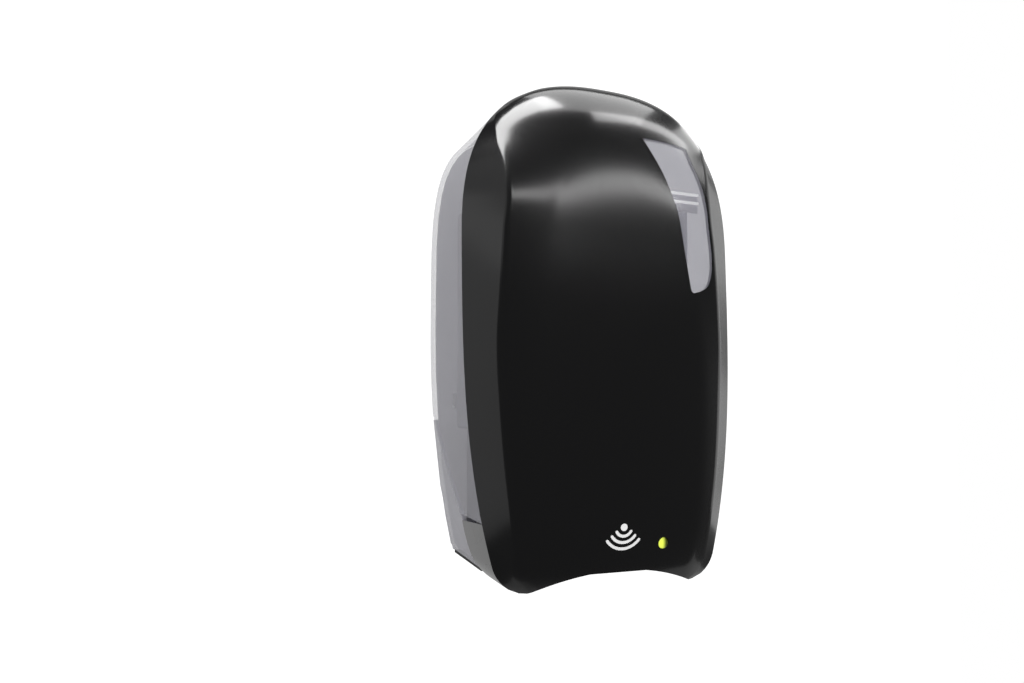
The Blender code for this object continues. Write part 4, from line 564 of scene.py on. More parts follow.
def cell_wrap():
    # Printed shrink wrap of a dry cell: dark barrel with a copper-coloured band at one end
    material = finish_of("dry_cell_wrap", "#22252b", 0.3, 0.6, 0.004, Metallic=0.5)
    tree, shader, where = inside(material)
    length = box_size("battery_1", 0) + 0.6 * MM
    split = add(tree, "SeparateXYZ", {"Vector": where})
    run = add(tree, "Math", {0: split.outputs["X"], 1: length}, operation="DIVIDE")
    share = add(tree, "Math", {0: run.outputs[0]}, operation="FRACT")
    band = add(tree, "Math", {0: share.outputs[0], 1: 0.72}, operation="GREATER_THAN")
    wrap = add(tree, "Mix", {0: band.outputs[0], 6: linear("#22252b"), 7: linear("#b5692f")},
               data_type="RGBA")
    feed(shader, {"Base Color": wrap.outputs[2]})
    return material


def board_mask():
    # Green solder mask over copper: the tracks show as lighter green lines
    material = finish_of("green_solder_mask", "#0f5a34", 0.35, 0.4, 0.004)
    tree, shader, where = inside(material)
    turn = add(tree, "Mapping", {"Vector": where, "Rotation": (radians(90), 0, 0)})
    tracks = add(tree, "TexBrick",
                 {"Vector": turn.outputs["Vector"], "Scale": 1 / (6 * MM), "Mortar Size": 0.045,
                  "Color1": linear("#0f5a34"), "Color2": linear("#115f38"),
                  "Mortar": linear("#2b8c55")})
    feed(shader, {"Base Color": tracks.outputs["Color"]})
    return material


# Name, hex colour, roughness, grain and relief in millimetres, and more socket values
PLAIN_FINISHES = {
    # Clear rim beads of the tank, given a painted glow: a painted highlight that shows them as bright
    # lines behind the window
    "bead": ("glowing_tank_bead_painted_highlight", "#ffffff", 0.2, 0.8, 0.002,
             {"Emission_Color": (1, 1, 1, 1), "Emission_Strength": 0.85}),
    # Blue shrink sleeve of the capacitors: smooth, with a soft sheen
    "sleeve": ("blue_capacitor_sleeve", "#1b2a5c", 0.3, 0.8, 0.003, {}),
    # Fired ceramic of the small board parts: grey and dull
    "ceramic": ("grey_ceramic", "#4a4743", 0.5, 0.3, 0.004, {}),
    # Matt black moulded ABS with spark-eroded grain
    "matt_black": ("matt_black_abs", "#161617", 0.5, 0.5, 0.02, {}),
    # Satin grey ABS for inner mouldings
    "grey_abs": ("satin_grey_abs", "#9b9ca1", 0.42, 0.6, 0.012, {}),
    # Natural acetal for gears, rotor and rollers: waxy and off-white
    "acetal": ("natural_acetal", "#e4e1d6", 0.38, 0.9, 0.006, {}),
    # Platinum-cured silicone hose: warm, milky and slightly tacky
    "silicone": ("silicone_hose", "#ddd6c2", 0.45, 1.0, 0.008,
                 {"Subsurface_Weight": 0.2, "Subsurface_Scale": 0.003, "IOR": 1.41}),
    # Nitrile rubber seal: dull black
    "rubber": ("black_nitrile_rubber", "#191919", 0.75, 0.4, 0.02, {}),
    # Zinc-plated steel for screws, pins and switch cans
    "steel": ("zinc_plated_steel", "#c3c5c8", 0.3, 0.4, 0.006, {"Metallic": 1.0}),
    # Nickel-plated steel of the motor can, the cell tips and the crystal: warm and bright
    "nickel": ("nickel_plated_can", "#c9c6be", 0.24, 0.8, 0.004, {"Metallic": 1.0}),
    # Turned brass pinion
    "brass": ("turned_brass", "#c9a552", 0.28, 0.3, 0.005, {"Metallic": 1.0}),
    # Ivory nylon of motor end cap and socket
    "nylon": ("ivory_nylon", "#d8d2bd", 0.48, 0.7, 0.01, {}),
    # Pale grey ABS of nozzle, spout, pump housing, latch and side catches
    "pale_abs": ("pale_grey_abs", "#c3c4c8", 0.35, 0.6, 0.01, {}),
    # Cast epoxy of the infrared parts: nearly black with a violet tint
    "infrared": ("dark_infrared_epoxy", "#1b1522", 0.12, 1.0, 0.002, {"IOR": 1.55}),
    # Green cast epoxy of the status light
    "green_epoxy": ("green_light_epoxy", "#9dbb3a", 0.15, 1.0, 0.002, {"IOR": 1.55}),
    # PVC insulation of the leads: smooth, with a soft sheen
    "red_pvc": ("red_pvc_insulation", "#9b1c1a", 0.4, 0.5, 0.004, {}),
    "blue_pvc": ("blue_pvc_insulation", "#1d2c6e", 0.4, 0.5, 0.004, {}),
    # Silicone rubber of the lip valve: orange and dull
    "orange_silicone": ("orange_silicone_valve", "#c9773a", 0.5, 0.5, 0.006, {}),
    # Transfer-moulded epoxy of the chip: fine-grained black
    "chip": ("moulded_epoxy_chip", "#1c1c1d", 0.55, 0.15, 0.006, {}),
}
RECIPES = {
    "black": black_abs,
    "thin_smoke": lambda: smoke_plastic("thin_smoke_grey_san", 0.1, settings("shell").smoke),
    # A thicker wall of it lets less light pass
    "thick_smoke": lambda: smoke_plastic("thick_smoke_grey_san", -0.24, "#dcdbe4"),
    # The window is the clearest piece, so that the level in the tank can be read
    "clear_smoke": lambda: smoke_plastic("clear_smoke_grey_san", 0.14, "#a5a4af"),
    # Screen-printed ink: flat white, slightly rough at its grain
    "ink": lambda: finish_of("white_screen_ink", settings("cover").ink, 0.55, 0.25, 0.004),
    # Milky blow-moulded polypropylene: soft sheen, light spreads inside it
    "milky": lambda: finish_of("milky_polypropylene", settings("inner").tank, 0.34, 2.0, 0.01,
                               Alpha=0.72, Subsurface_Weight=0.15, Subsurface_Scale=0.004,
                               IOR=1.49),
    "lens": lens_acrylic,
    "cell": cell_wrap,
    "board": board_mask,
}
FINISHES = {}


def finish(key):
    """The material of that name, made once."""
    if key not in FINISHES:
        if key in PLAIN_FINISHES:
            *looks, sockets = PLAIN_FINISHES[key]
            FINISHES[key] = finish_of(*looks, **sockets)
        else:
            FINISHES[key] = RECIPES[key]()
    return FINISHES[key]


# Pieces of the cover

# Shares of the half section, from the middle of the front, at which the fold and the seam lie
SHARE_FOLD, SHARE_SEAM = 0.6, 0.8
# Shares of the front that the panel inside the crease and the slope beside it take
PANEL_SHARE, SLOPE_SHARE = 0.55, 0.45
# Shares of the rows and of the height: first evenly spaced, then drawn together at the crown
EVEN_ROWS, EVEN_HEIGHT = 0.55, 0.62
CROWN_ROWS, CROWN_HEIGHT, CROWN_POWER = 0.45, 0.38, 0.9
# How far the sheet reaches below the foot, and where its sides end behind the seam
FOOT_MARGIN, REAR = 4 * MM, 46 * MM
# Hinge axis as depth and height, and the round ears about it
PIVOT = (77 * MM, 30 * MM)
EAR_RADIUS, EAR_TOP = 27 * MM, 33 * MM
WING_FOOT, SHELL_FOOT = 36.5 * MM, 30 * MM
SEAM_GAP = 0.3 * MM
# Arch cut into the foot of the cover
FOOT_HALF_SPAN, FOOT_RISE, FOOT_STEPS = 48 * MM, 10.4 * MM, 24
FOOT_LOW, FOOT_BACK = -9 * MM, 85 * MM
LENS_BORE, LENS_BORE_BACK, LENS_BORE_LENGTH = 3.2 * MM, 98 * MM, 30 * MM
# Hollow bosses inside the ears for the hinge pins, and their distance from the side wall
PIN_HOLE_RADIUS, BOSS_RADIUS, BOSS_START, BOSS_INSET = 2.8 * MM, 5.2 * MM, 56.8 * MM, 1.2 * MM
WINDOW_BACK = 80 * MM
# Rear edge of the shell: down the wall, then slanting to the foot of its wing
WING = ((0.8 * MM, 94 * MM), (48.6 * MM, WING_FOOT))
# How far the sheet of the shell reaches past its edges before it is cut
SHELL_MARGIN = 3 * MM
# Foot of the key hole in the top of the shell
KEY_DEPTH, KEY_FOOT = 11.5 * MM, BODY_HEIGHT - 8 * MM


def height_share(v):
    """Rows close together at the crown, where the arch closes."""
    if v <= EVEN_ROWS:
        return v / EVEN_ROWS * EVEN_HEIGHT
    crown = sin(pi / 2 * (v - EVEN_ROWS) / CROWN_ROWS) ** CROWN_POWER
    return EVEN_HEIGHT + CROWN_HEIGHT * crown


def cover_point(u, v):
    """Corner of the cover at a share round its section and a share of its height."""
    height = -FOOT_MARGIN + (BODY_HEIGHT + FOOT_MARGIN) * height_share(v)
    seam = seam_depth(height)
    fold, half = fold_half_width(height), seam_half_width(height)
    crease = min(crease_half_width(height), fold / 2)
    side = 1 if u >= 0.5 else -1
    t = abs(u - 0.5) * 2
    if t <= SHARE_FOLD:
        s = t / SHARE_FOLD
        x = crease * s / PANEL_SHARE
        if s >= PANEL_SHARE:
            x = crease + (fold - crease) * (s - PANEL_SHARE) / SLOPE_SHARE
        return place(side * x, front_depth(x, height), height)
    if t <= SHARE_SEAM:
        s = (t - SHARE_FOLD) / (SHARE_SEAM - SHARE_FOLD)
        depth = front_depth(fold, height) * (1 - s) + seam * s
        return place(side * (fold * (1 - s) + half * s), depth, height)
    s = (t - SHARE_SEAM) / (1 - SHARE_SEAM)
    depth = seam * (1 - s) + REAR * s
    return place(side * side_half_width(height, depth), depth, height)


class OBJECT_OT_front_cover(Operator):
    """Mould the glossy black front cover with its cheeks, ears, arch and openings"""
    bl_idname = "dispenser.front_cover"
    bl_label = "Front cover"

    def execute(self, context):
        cover = settings("cover")
        shape = sheet(100, cover.cells, cover_point)
        thicken(shape, drawn_in(cover.wall))
        skin = new_object("black_front_skin", shape)
        above, far = BODY_HEIGHT + OVERRUN, BODY_DEPTH + OVERRUN
        ear = degrees(acos(-sqrt(1 - ((EAR_TOP - PIVOT[1]) / EAR_RADIUS) ** 2)))
        outline = [(far, above), (seam_depth(above), above),
                   (seam_depth(WING_FOOT), WING_FOOT - SEAM_GAP),
                   *arc(PIVOT, EAR_RADIUS, ear, 270, 32), (SEAM_FOOT * MM, 0), (far, 0)]
        combine(skin, side_prism("ear_outline", outline), "INTERSECT")
        foot = [(FOOT_HALF_SPAN * k / FOOT_STEPS, FOOT_RISE * (1 - (k / FOOT_STEPS) ** 2))
                for k in range(-FOOT_STEPS, FOOT_STEPS + 1)]
        foot = [(-FOOT_HALF_SPAN, FOOT_LOW), *foot, (FOOT_HALF_SPAN, FOOT_LOW)]
        combine(skin, front_prism("arch", foot, FOOT_BACK, far))
        combine(skin, front_prism("window_hole", window_outline(), WINDOW_BACK, far))
        combine(skin, tube("lens_hole", middle_of("status_lens", -LENS_BORE_BACK), FORWARD, 0,
                           LENS_BORE, LENS_BORE_LENGTH, 32))
        length = side_half_width(PIVOT[1], PIVOT[0]) - BOSS_INSET - BOSS_START
        for side in (-1, 1):
            boss = tube("hinge_boss", place(side * BOSS_START, *PIVOT), (side, 0, 0), PIN_HOLE_RADIUS,
                        BOSS_RADIUS, length, 32)
            combine(skin, boss, "UNION")
        fit_out(skin, "cover", "front_cover", "black", "front_cover")
        return {"FINISHED"}


def window_outline():
    return rounded_loop([(BODY_HALF_WIDTH * x, BODY_HEIGHT * height) for x, height in WINDOW])


class OBJECT_OT_side_shell(Operator):
    """Mould the clear grey shell behind the cover, with its side catches and latch catch"""
    bl_idname = "dispenser.side_shell"
    bl_label = "Side shell"

    def execute(self, context):
        wall = settings("shell").wall

        def where(u, v):
            height = SHELL_FOOT + (BODY_HEIGHT - SHELL_FOOT) * height_share(v)
            depth = -SHELL_MARGIN + (seam_depth(height) + 2 * SHELL_MARGIN) * u
            return place(side_half_width(height, depth), depth, height)

        shape = sheet(16, 120, where)
        bmesh.ops.reverse_faces(shape, faces=shape.faces[:])
        copy = bmesh.ops.duplicate(shape, geom=shape.verts[:] + shape.edges[:] + shape.faces[:])
        bmesh.ops.scale(shape, vec=(-1, 1, 1), verts=corners_of(copy))
        bmesh.ops.remove_doubles(shape, verts=shape.verts, dist=WELD)
        face_out(shape)
        thicken(shape, drawn_in(wall))
        shell = new_object("clear_side_shell", shape)
        above = BODY_HEIGHT + OVERRUN
        outline = [(WING[0][0], above), *WING, (seam_depth(WING_FOOT) - SEAM_GAP, WING_FOOT),
                   (seam_depth(above) - SEAM_GAP, above)]
        combine(shell, side_prism("wing_outline", outline), "INTERSECT")
        key_foot, key_radius, key_length = place(0, KEY_DEPTH, KEY_FOOT), 1.8 * MM, 20 * MM
        combine(shell, tube("key_hole", key_foot, UP, 0, key_radius, key_length, 24))
        catch = slab(0, 7.2, BODY_HEIGHT / MM - 3.65, (16, 2.6, 5.1))
        combine(shell, block("latch_catch", *catch), "UNION")
        fit_out(shell, "cover", "side_shell", "thin_smoke", "side_shell")
        height, depth, size, gap = 101, 54, (1.5, 5.6, 8.6), 0.05
        middle = (side_half_width(height * MM, depth * MM) - wall) / MM - gap - size[0] / 2
        for side, name in ((-1, "left"), (1, "right")):
            corners = slab(side * middle, depth - size[1] / 2, height, size)
            fit_out(block(f"side_catch_{name}", *corners, 0.5 * MM), "cover", "side_shell", "pale_abs")
        return {"FINISHED"}


class OBJECT_OT_level_window(Operator):
    """Mould the curved level window that fills its opening in the cover"""
    bl_idname = "dispenser.level_window"
    bl_label = "Level window"

    def execute(self, context):
        wall, gap, edge_width = settings("shell").window_wall, 0.3 * MM, 0.6 * MM
        left, right = 12 * MM, 64 * MM
        foot, top = 156 * MM, 250 * MM

        def where(u, v):
            x, height = left + (right - left) * u, foot + (top - foot) * v
            return place(x, front_depth(x, height), height)

        shape = sheet(44, 80, where)
        face_out(shape)
        thicken(shape, lambda point: point + Vector((0, wall, 0)))
        pane = new_object("clear_level_window", shape)
        loop = inset_loop(window_outline(), gap)
        rim = front_prism("pane_edge", loop, WINDOW_BACK, BODY_DEPTH + OVERRUN)
        combine(pane, rim, "INTERSECT")
        edge = pane.modifiers.new("edge", "BEVEL")
        edge.width, edge.segments, edge.limit_method = edge_width, 2, "ANGLE"
        fit_out(pane, "cover", "level_window", "clear_smoke", "level_window")
        return {"FINISHED"}


class OBJECT_OT_status_lens(Operator):
    """Turn the round green status lens with its flange"""
    bl_idname = "dispenser.status_lens"
    bl_label = "Status lens"

    def execute(self, context):
        low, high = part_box("status_lens")
        length = high.y - low.y
        radius, flange, rise = 3.0 * MM, 4.6 * MM, 1 * MM
        flange_back, flange_front = length - 5 * MM, length - 3.8 * MM
        dome = [(radius * sin(a), length - rise * (1 - cos(a)))
                for a in [radians(15 * k) for k in range(6, -1, -1)]]
        profile = [(0, 0), (radius, 0), (radius, flange_back), (flange, flange_back),
                   (flange, flange_front), (radius, flange_front)] + dome
        lens = turned("green_status_lens", middle_of("status_lens", high.y), FORWARD, profile)
        fit_out(lens, "cover", "status_lens", "lens", "status_lens")
        return {"FINISHED"}


class OBJECT_OT_sensing_mark(Operator):
    """Print the plain dot and three round-ended arcs on the cover"""
    bl_idname = "dispenser.sensing_mark"
    bl_label = "Sensing mark"

    def execute(self, context):
        stroke = settings("cover").stroke
        height, lift, dot_radius, thickness = 33.8 * MM, 0.05 * MM, 1.95 * MM, 0.12 * MM
        dot = bmesh.new()
        bmesh.ops.create_circle(dot, cap_ends=True, segments=40, radius=dot_radius)
        for vert in dot.verts:
            x, up = vert.co.x, height + vert.co.y
            vert.co = place(x, front_depth(x, up) + lift, up)
        shapes = [("mark_dot", dot)]
        for number, (radius, spread) in enumerate(((4.7, 61), (8.1, 55), (11.5, 53)), 1):
            reach = radius * MM
            half_length = reach * radians(spread) + stroke / 2

            def where(u, v):
                run = -half_length * cos(pi * u)
                past = max(0.0, abs(run) - (half_length - stroke / 2)) / (stroke / 2)
                wide = stroke * sqrt(max(0.0, 1 - min(past, 1) ** 2))
                angle = radians(-90) + run / reach
                out = reach + wide * (v - 0.5)
                x, up = out * cos(angle), height + out * sin(angle)
                return place(x, front_depth(x, up) + lift, up)

            shapes.append((f"mark_arc_{number}", sheet(48, 2, where)))
        replaced = ("sensing_label",)
        for name, shape in shapes:
            face_out(shape)
            thicken(shape, lambda point: point - Vector((0, thickness, 0)))
            fit_out(new_object(name, shape), "cover", "sensing_label", "ink", *replaced)
            replaced = ()
        return {"FINISHED"}


# Tank, cap, screws, cells, motor and board parts

# In millimetres: height of the tank's neck, and distance of the back plate's front from the wall
NECK_RISE, PLATE_MM = 10, 3


class OBJECT_OT_tank(Operator):
    """Blow-mould the milky tank with its rounded edges and its neck"""
    bl_idname = "dispenser.tank"
    bl_label = "Tank"

    def execute(self, context):
        low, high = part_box("tank")
        rim, wall = NECK_RISE * MM, 2 * MM
        upright_radius, flat_radius, room_radius = 12 * MM, 2.5 * MM, 9 * MM
        top = high.z - rim
        shape = blocks([(low, (high.x, high.y, top))])
        # The four upright edges first, then those that are still sharp round foot and top
        upright = [edge for edge in shape.edges
                   if abs(edge.verts[0].co.z - edge.verts[1].co.z) > 1 * MM]
        round_edges(shape, upright, upright_radius, 10)
        flat = [edge for edge in shape.edges
                if edge.calc_face_angle(0) > 1.2
                and abs(edge.verts[0].co.z - edge.verts[1].co.z) < 0.1 * MM]
        round_edges(shape, flat, flat_radius, 4)
        tank = new_object("milky_tank", shape)
        room = block("tank_room", [value + wall for value in low],
                     [value - wall for value in (high.x, high.y, top)], room_radius, 5)
        combine(tank, room)
        neck = Vector((0, -60 * MM, top - 1 * MM))
        inner, outer = 12.5 * MM, 15 * MM
        combine(tank, tube("neck", neck, UP, inner, outer, rim + 1 * MM, 64), "UNION")
        combine(tank, tube("neck_bore", neck - Vector((0, 0, 4 * MM)), UP, 0, inner, rim + 9 * MM, 64))
        fit_out(tank, "housing", "tank", "milky", "tank")
        return {"FINISHED"}


class OBJECT_OT_tank_cap(Operator):
    """Mould the tank cap with grip ribs and a finger bar"""
    bl_idname = "dispenser.tank_cap"
    bl_label = "Tank cap"

    def execute(self, context):
        inner = settings("inner")
        low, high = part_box("tank_cap")
        centre = Vector(((low.x + high.x) / 2, (low.y + high.y) / 2, low.z))
        radius = (high.x - low.x) / 2
        skirt, bore, edge, sunk = 10 * MM, 15.3 * MM, 1.2 * MM, 1 * MM
        roof = skirt - 2 * MM
        profile = [(0, skirt), (radius - edge, skirt), (radius - 0.4 * MM, skirt - 0.3 * MM),
                   (radius, skirt - edge), (radius, 0), (bore, 0), (bore, roof), (0, roof)]
        cap = turned("ribbed_tank_cap", centre, UP, profile, inner.ribs * 4)
        for vert in cap.data.vertices:
            flat = Vector((vert.co.x - centre.x, vert.co.y - centre.y))
            if flat.length > radius - 0.1 * MM and vert.co.z < centre.z + skirt - sunk:
                wave = 0.5 - 0.5 * cos(inner.ribs * atan2(flat.y, flat.x))
                vert.co.xy -= flat.normalized() * inner.rib * wave
        reach, half_thick, rounding = 14 * MM, 2 * MM, 0.8 * MM
        bar = block("finger_bar", (-reach, centre.y - half_thick, centre.z + skirt - sunk),
                    (reach, centre.y + half_thick, high.z), rounding)
        combine(cap, bar, "UNION")
        fit_out(cap, "cap", "black_part", "matt_black", "tank_cap")
        return {"FINISHED"}


class OBJECT_OT_wall_screws(Operator):
    """Turn the wall screws and press a cross recess in each head"""
    bl_idname = "dispenser.wall_screws"
    bl_label = "Wall screws"

    def execute(self, context):
        for number in range(1, 5):
            node = f"wall_screw_{number}"
            low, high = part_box(node)
            centre = middle_of(node, high.y)
            shank, tip, head, recess_depth = 2.1 * MM, 0.6 * MM, 2.4 * MM, 1.4 * MM
            radius, under = (high.x - low.x) / 2, high.y - low.y - head
            profile = [(0, 0), (shank, tip), (shank, under), (radius, under)]
            profile += [(radius * cos(a), under + head * sin(a))
                        for a in [radians(15 * k) for k in range(1, 7)]]
            screw = turned(f"cross_screw_{number}", centre, FORWARD, profile, 32)
            for wide, tall in mm((2.6, 0.5), (0.5, 2.6)):
                recess = block("recess", (centre.x - wide, low.y - 1 * MM, centre.z - tall),
                               (centre.x + wide, low.y + recess_depth, centre.z + tall))
                combine(screw, recess)
            fit_out(screw, "housing", "steel", "steel", node)
        return {"FINISHED"}


class OBJECT_OT_batteries(Operator):
    """Turn the four dry cells with their plus tips"""
    bl_idname = "dispenser.batteries"
    bl_label = "Batteries"

    def execute(self, context):
        for number in range(1, 5):
            node = f"battery_{number}"
            low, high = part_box(node)
            start = Vector((low.x, (low.y + high.y) / 2, (low.z + high.z) / 2))
            tip_rise, edge = 1.6 * MM, 0.6 * MM
            radius, barrel = (high.z - low.z) / 2, high.x - low.x - tip_rise
            end = radius - 0.8 * MM
            profile = [(0, 0), (end, 0), (radius, edge), (radius, barrel - edge), (end, barrel),
                       (0, barrel)]
            cell = turned(f"dry_cell_{number}", start, (1, 0, 0), profile, 40)
            fit_out(cell, "housing", "cell", "cell", node)
            tip = turned(f"cell_tip_{number}", start + Vector((barrel, 0, 0)), (1, 0, 0),
                         mm((0, 0), (2.75, 0), (2.75, 1.2), (2.3, 1.6), (0, 1.6)), 24)
            fit_out(tip, "housing", "cell", "nickel")
        return {"FINISHED"}


class OBJECT_OT_motor(Operator):
    """Turn the motor can with its front boss, and flatten its two sides"""
    bl_idname = "dispenser.motor"
    bl_label = "Motor"

    def execute(self, context):
        low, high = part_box("motor")
        radius, length = (high.x - low.x) / 2, high.y - low.y
        can, boss = length - 1.8 * MM, 2.9 * MM
        # Where the rounded edge of the can starts, and its middle point
        edge, bend = 1 * MM, 0.3 * MM
        profile = [(0, 0), (radius - edge, 0), (radius - bend, bend), (radius, edge),
                   (radius, can - edge), (radius - bend, can - bend), (radius - edge, can),
                   (boss, can), (boss, length), (0, length)]
        motor = turned("flat_sided_motor", middle_of("motor", high.y), FORWARD, profile, 64)
        reach = Vector((OVERRUN, OVERRUN, 0))
        flats = block("motor_flats", low - reach, high + reach, 0.4 * MM, 2)
        combine(motor, flats, "INTERSECT")
        fit_out(motor, "housing", "steel", "nickel", "motor")
        return {"FINISHED"}


class OBJECT_OT_small_parts(Operator):
    """Add screw heads, board parts, plate ribs and collars, the tank's lip and the door's grip"""
    bl_idname = "dispenser.small_parts"
    bl_label = "Small parts"

    def execute(self, context):
        front, board, tank, door = (-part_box(node)[0].y / MM for node in
                                    ("pump_cover", "control_board", "tank", "battery_door"))
        dome = mm((0, 0), (2.1, 0), (2.1, 0.5), (1.6, 1.1), (0, 1.3))
        spots = ((5.1, 65.1), (5.1, 30.9), (-22.6, 61.5), (-22.6, 34.5))
        for number, (x, height) in enumerate(spots, 1):
            head = stud(f"pump_screw_{number}", x, front, height, dome)
            combine(head, block("screw_slot", *slab(x, front + 0.8, height, (5, 1, 0.5))))
            fit_out(head, "housing", "steel", "steel")
        peg = mm((0, 0), (2.2, 0), (2, 0.9), (1.2, 1.7), (0, 1.9))
        spots = ((22, 29.4), (22, 62.8), (37.5, 29.4), (37.5, 62.8))
        for number, (x, height) in enumerate(spots, 1):
            head = stud(f"staked_peg_{number}", x, board, height, peg)
            fit_out(head, "housing", "chassis", "grey_abs")
        for number, (x, height, radius) in enumerate(((45.5, 22.5, 3.2), (46, 31.5, 2.5)), 1):
            can = mm((0, 0), (radius, 0), (radius, 5.6), (radius - 0.5, 6), (0, 6))
            capacitor = stud(f"capacitor_{number}", x, board, height, can, 32)
            fit_out(capacitor, "housing", "board", "sleeve")
        spots = ((22, 36), (22, 39), (22, 42), (22, 45), (43, 39), (43, 42), (43, 45), (30, 72),
                 (34, 72), (38, 72), (42, 72), (47, 60), (47, 64))
        boxes = [slab(x, board, height, (1.6, 0.6, 0.8)) for x, height in spots]
        fit_blocks("board_resistors", boxes, 0.08, "board", "ceramic")
        boxes = [slab(x, board, 37 + 1.5 * row, (1.2, 0.3, 0.45)) for x in (30.4, 39.6)
                 for row in range(5)]
        fit_blocks("chip_legs", boxes, 0, "board", "steel")
        fit_blocks("crystal_can", [slab(27, board, 41, (3.2, 1.2, 5))], 0.4, "board", "nickel")
        ring = mm((5.2, 0), (6.6, 0), (6.3, 1.4), (5.2, 1.4))
        for number in range(1, 5):
            centre = middle_of(f"wall_screw_{number}", -PLATE_MM * MM)
            collar = turned(f"screw_collar_{number}", centre, FORWARD, ring, 40)
            fit_out(collar, "housing", "back_plate", "thick_smoke")
        boxes = [slab(x, PLATE_MM, 158, (1.4, 1.5, 126)) for x in (-30, -10, 10, 30)]
        fit_blocks("plate_ribs", boxes, 0.4, "back_plate", "thick_smoke")
        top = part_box("tank")[1].z / MM + ORIGIN_HEIGHT / MM - NECK_RISE
        lip = slab(0, tank - 0.8, top + 3.1, (136, 1.2, 12))
        fit_blocks("tank_lip", [lip], 0.4, "tank", "thin_smoke")
        boxes = [slab(0, tank - 1.2, top + rise, (137, 2.2, 1.6)) for rise in (3.2, 8.3)]
        # The beads' finish glows with a painted highlight behind the window
        fit_blocks("tank_bead", boxes, 0.6, "tank", "bead", segments=3)
        boxes = [slab(0, door - 0.3, 234 + 3 * row, (24, 0.9, 1.2)) for row in range(4)]
        fit_blocks("door_grip", boxes, 0.3, "black_part", "matt_black", "door")
        return {"FINISHED"}


# Finishes of the solids that stay

NODE_FINISH = {
    "thick_smoke": ("back_plate",),
    "matt_black": ("floor_panel", "sensor_holder", "battery_box", "battery_door", "power_knob",
                   "dose_knob"),
    "grey_abs": ("pump_chassis", "pump_cover", "gearbox_case", "gearbox_cover", "latch_guide"),
    "pale_abs": ("tank_spout", "pump_housing", "nozzle", "latch_tongue"),
    "acetal": ("pump_rotor", "roller_1", "roller_2", "roller_3", "compound_gear", "output_gear"),
    "silicone": ("pump_tube",),
    "rubber": ("cap_seal",),
    "steel": ("hinge_pin_left", "hinge_pin_right", "power_switch", "dose_switch",
              "battery_contact_left", "battery_contact_right", "latch_spring"),
    "brass": ("motor_pinion",),
    "nylon": ("motor_end_cap", "lead_socket"),
    "infrared": ("infrared_emitter", "infrared_receiver", "sensor_window"),
    "green_epoxy": ("status_light",),
    "orange_silicone": ("lip_valve",),
    "red_pvc": ("battery_lead",),
    "blue_pvc": ("motor_lead",),
    "chip": ("control_chip",),
    "board": ("control_board",),
}


class OBJECT_OT_inner_finishes(Operator):
    """Give every solid that stays its own finish"""
    bl_idname = "dispenser.inner_finishes"
    bl_label = "Inner finishes"

    def execute(self, context):
        for key, nodes in NODE_FINISH.items():
            for node in nodes:
                dress(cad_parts[node], key)
        return {"FINISHED"}


# Stage

LIT_MIDDLE = Vector((0, -0.1, 0.07))
LAMP_AIM = Vector((0, -0.06, 0))


def lamp(name, centre, size, level, turn=None, roll=0, sheen_only=True):
    """A soft rectangular lamp. It faces the piece, or down when a turn is given."""
    data = bpy.data.lights.new(name, "AREA")
    data.shape = "RECTANGLE"
    data.size, data.size_y = size
    data.energy = level * pi * size[0] * size[1]
    obj = bpy.data.objects.new(name, data)
    obj.location = centre
    if turn is None:
        aim = LAMP_AIM - Vector(centre)
        facing = aim.to_track_quat("-Z", "Y") @ Quaternion(UP, radians(roll))
        obj.rotation_euler = facing.to_euler()
    else:
        obj.rotation_euler = (0, 0, radians(turn))
    obj.visible_camera = False
    obj.visible_diffuse = not sheen_only
    obj.visible_glossy = sheen_only
    bpy.context.scene.collection.objects.link(obj)


def direction(azimuth, lift):
    """Direction of a turn from the front and an angle of height."""
    return Vector((sin(azimuth) * cos(lift), -cos(azimuth) * cos(lift),
                   sin(lift)))


def toward(azimuth, lift, distance):
    """Place of a lamp, at a distance from the middle of the lit front."""
    return LIT_MIDDLE + direction(radians(azimuth), radians(lift)) * distance


def seen_level(tree, unseen, in_gloss):
    """Brightness: 1 to the camera and through clear plastic, and less in gloss and elsewhere."""
    rays = add(tree, "LightPath").outputs
    rest = add(tree, "MapRange", {"Value": rays["Is Glossy Ray"], "To Min": unseen, "To Max": in_gloss})
    seen = add(tree, "Math", {0: rays["Is Camera Ray"], 1: rays["Is Transmission Ray"]},
               operation="MAXIMUM")
    return add(tree, "Math", {0: seen.outputs[0], 1: rest.outputs["Result"]},
               operation="MAXIMUM").outputs[0]


def pale_paper():
    # Pale matt paper: white to the camera and in gloss, and it keeps its shadows
    material = bpy.data.materials.new("pale_paper")
    material.use_nodes = True
    tree, shader = material.node_tree, material.node_tree.nodes["Principled BSDF"]
    feed(shader, {"Base Color": linear("#808080"), "Roughness": 0.9})
    glow = add(tree, "Emission", {"Color": (1, 1, 1, 1), "Strength": seen_level(tree, 0, 0.28)})
    both = add(tree, "AddShader", {0: shader.outputs[0], 1: glow.outputs[0]})
    feed(tree.nodes["Material Output"], {"Surface": both.outputs[0]})
    return material


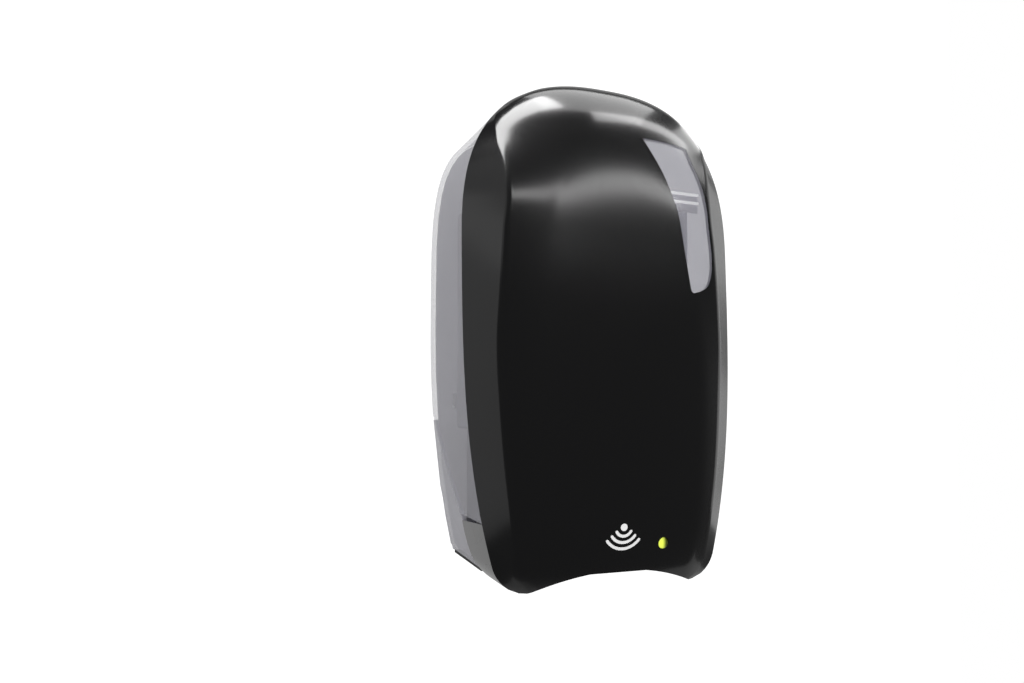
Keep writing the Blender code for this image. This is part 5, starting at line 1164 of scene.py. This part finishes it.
class OBJECT_OT_stage(Operator):
    """Set the camera, the soft lamps, the pale floor and the backdrop"""
    bl_idname = "dispenser.stage"
    bl_label = "Stage"

    def execute(self, context):
        stage = settings("stage")
        scene = context.scene
        scene.view_settings.view_transform = "Standard"
        aim = place(0, 25.6 * MM, 107.5 * MM)
        back = direction(-stage.azimuth, stage.lift)
        camera = bpy.data.objects.new("camera", bpy.data.cameras.new("camera"))
        camera.data.lens, camera.data.sensor_width = stage.lens, 36
        camera.data.shift_x, camera.data.shift_y = -0.0481, 0.0502
        camera.data.clip_start = 0.01
        camera.location = aim + back * stage.distance
        camera.rotation_euler = (-back).to_track_quat("-Z", "Y").to_euler()
        scene.collection.objects.link(camera)
        scene.camera = camera
        white = pale_paper()
        for name, size, shift, tilt in (("floor", 2.2, (0, 0.7, -stage.floor_drop), 0),
                                        ("backdrop", 4.0, (0, 1.4, 1.0), 90)):
            shape = bmesh.new()
            bmesh.ops.create_grid(shape, x_segments=2, y_segments=2, size=size / 2)
            matrix = Matrix.Translation(shift) @ Matrix.Rotation(radians(tilt), 4, "X")
            bmesh.ops.transform(shape, matrix=matrix, verts=shape.verts)
            card = new_object(name, shape)
            card.data.materials.append(white)
        world = bpy.data.worlds.new("studio")
        scene.world = world
        world.use_nodes = True
        feed(world.node_tree.nodes["Background"],
             {"Color": (1, 1, 1, 1), "Strength": seen_level(world.node_tree, 0.6, 0.1)})
        # Plain light that carries the colours, from above the front
        lamp("key_light", toward(-8, 35, 2), (1.2, 1.2), 4.8, sheen_only=False)
        # Lamps that only show in gloss: three over the crown, one behind it to the right, two for
        # the band across the front, and three at the sides
        lamp("crown_left", (-0.48, -0.47, 1.05), (0.95, 0.44), 12, 12)
        lamp("crown_right", (0.84, -0.49, 1.05), (1.15, 0.2), 6, 25)
        lamp("crown_top", (0.3, -0.27, 1.1), (0.9, 0.85), 3, 0)
        lamp("rear_right", (1.25, 0.45, 1.05), (0.4, 1.6), 2.2, 0)
        lamp("band_left", toward(-9, 29.7, 2.3), (1.2, 0.16), 5, roll=-5)
        lamp("band_right", toward(30, 26.9, 2.3), (1.75, 0.16), 6, roll=-2)
        lamp("right_side", toward(104, 6, 2), (1.2, 1.7), 0.6)
        lamp("left_side", toward(-85, 0, 2), (1.3, 2.0), 0.45)
        lamp("left_upper", toward(-72, 27, 2), (1.1, 0.8), 0.35)
        return {"FINISHED"}


class VIEW3D_PT_dispenser(Panel):
    """Sizes, colours and steps of the dispenser"""
    bl_label = "Soap dispenser"
    bl_space_type = "VIEW_3D"
    bl_region_type = "UI"
    bl_category = "Dispenser"

    def draw(self, context):
        for group, kind in SETTINGS.items():
            column = self.layout.column(align=True)
            for name in kind.__annotations__:
                column.prop(settings(group), name)
        for step in STEPS:
            self.layout.operator(step.bl_idname)


STEPS = (OBJECT_OT_stage, OBJECT_OT_front_cover, OBJECT_OT_side_shell, OBJECT_OT_level_window,
         OBJECT_OT_status_lens, OBJECT_OT_sensing_mark, OBJECT_OT_tank, OBJECT_OT_tank_cap,
         OBJECT_OT_wall_screws, OBJECT_OT_batteries, OBJECT_OT_motor, OBJECT_OT_small_parts,
         OBJECT_OT_inner_finishes)
CLASSES = (*SETTINGS.values(), *STEPS, VIEW3D_PT_dispenser)


def register():
    for kind in CLASSES:
        bpy.utils.register_class(kind)
    for group, kind in SETTINGS.items():
        setattr(bpy.types.Scene, f"dispenser_{group}", PointerProperty(type=kind))


def unregister():
    for group in SETTINGS:
        delattr(bpy.types.Scene, f"dispenser_{group}")
    for kind in reversed(CLASSES):
        bpy.utils.unregister_class(kind)


def main():
    register()
    for step in STEPS:
        group, name = step.bl_idname.split(".")
        getattr(getattr(bpy.ops, group), name)()


if __name__ == "__main__":
    main()
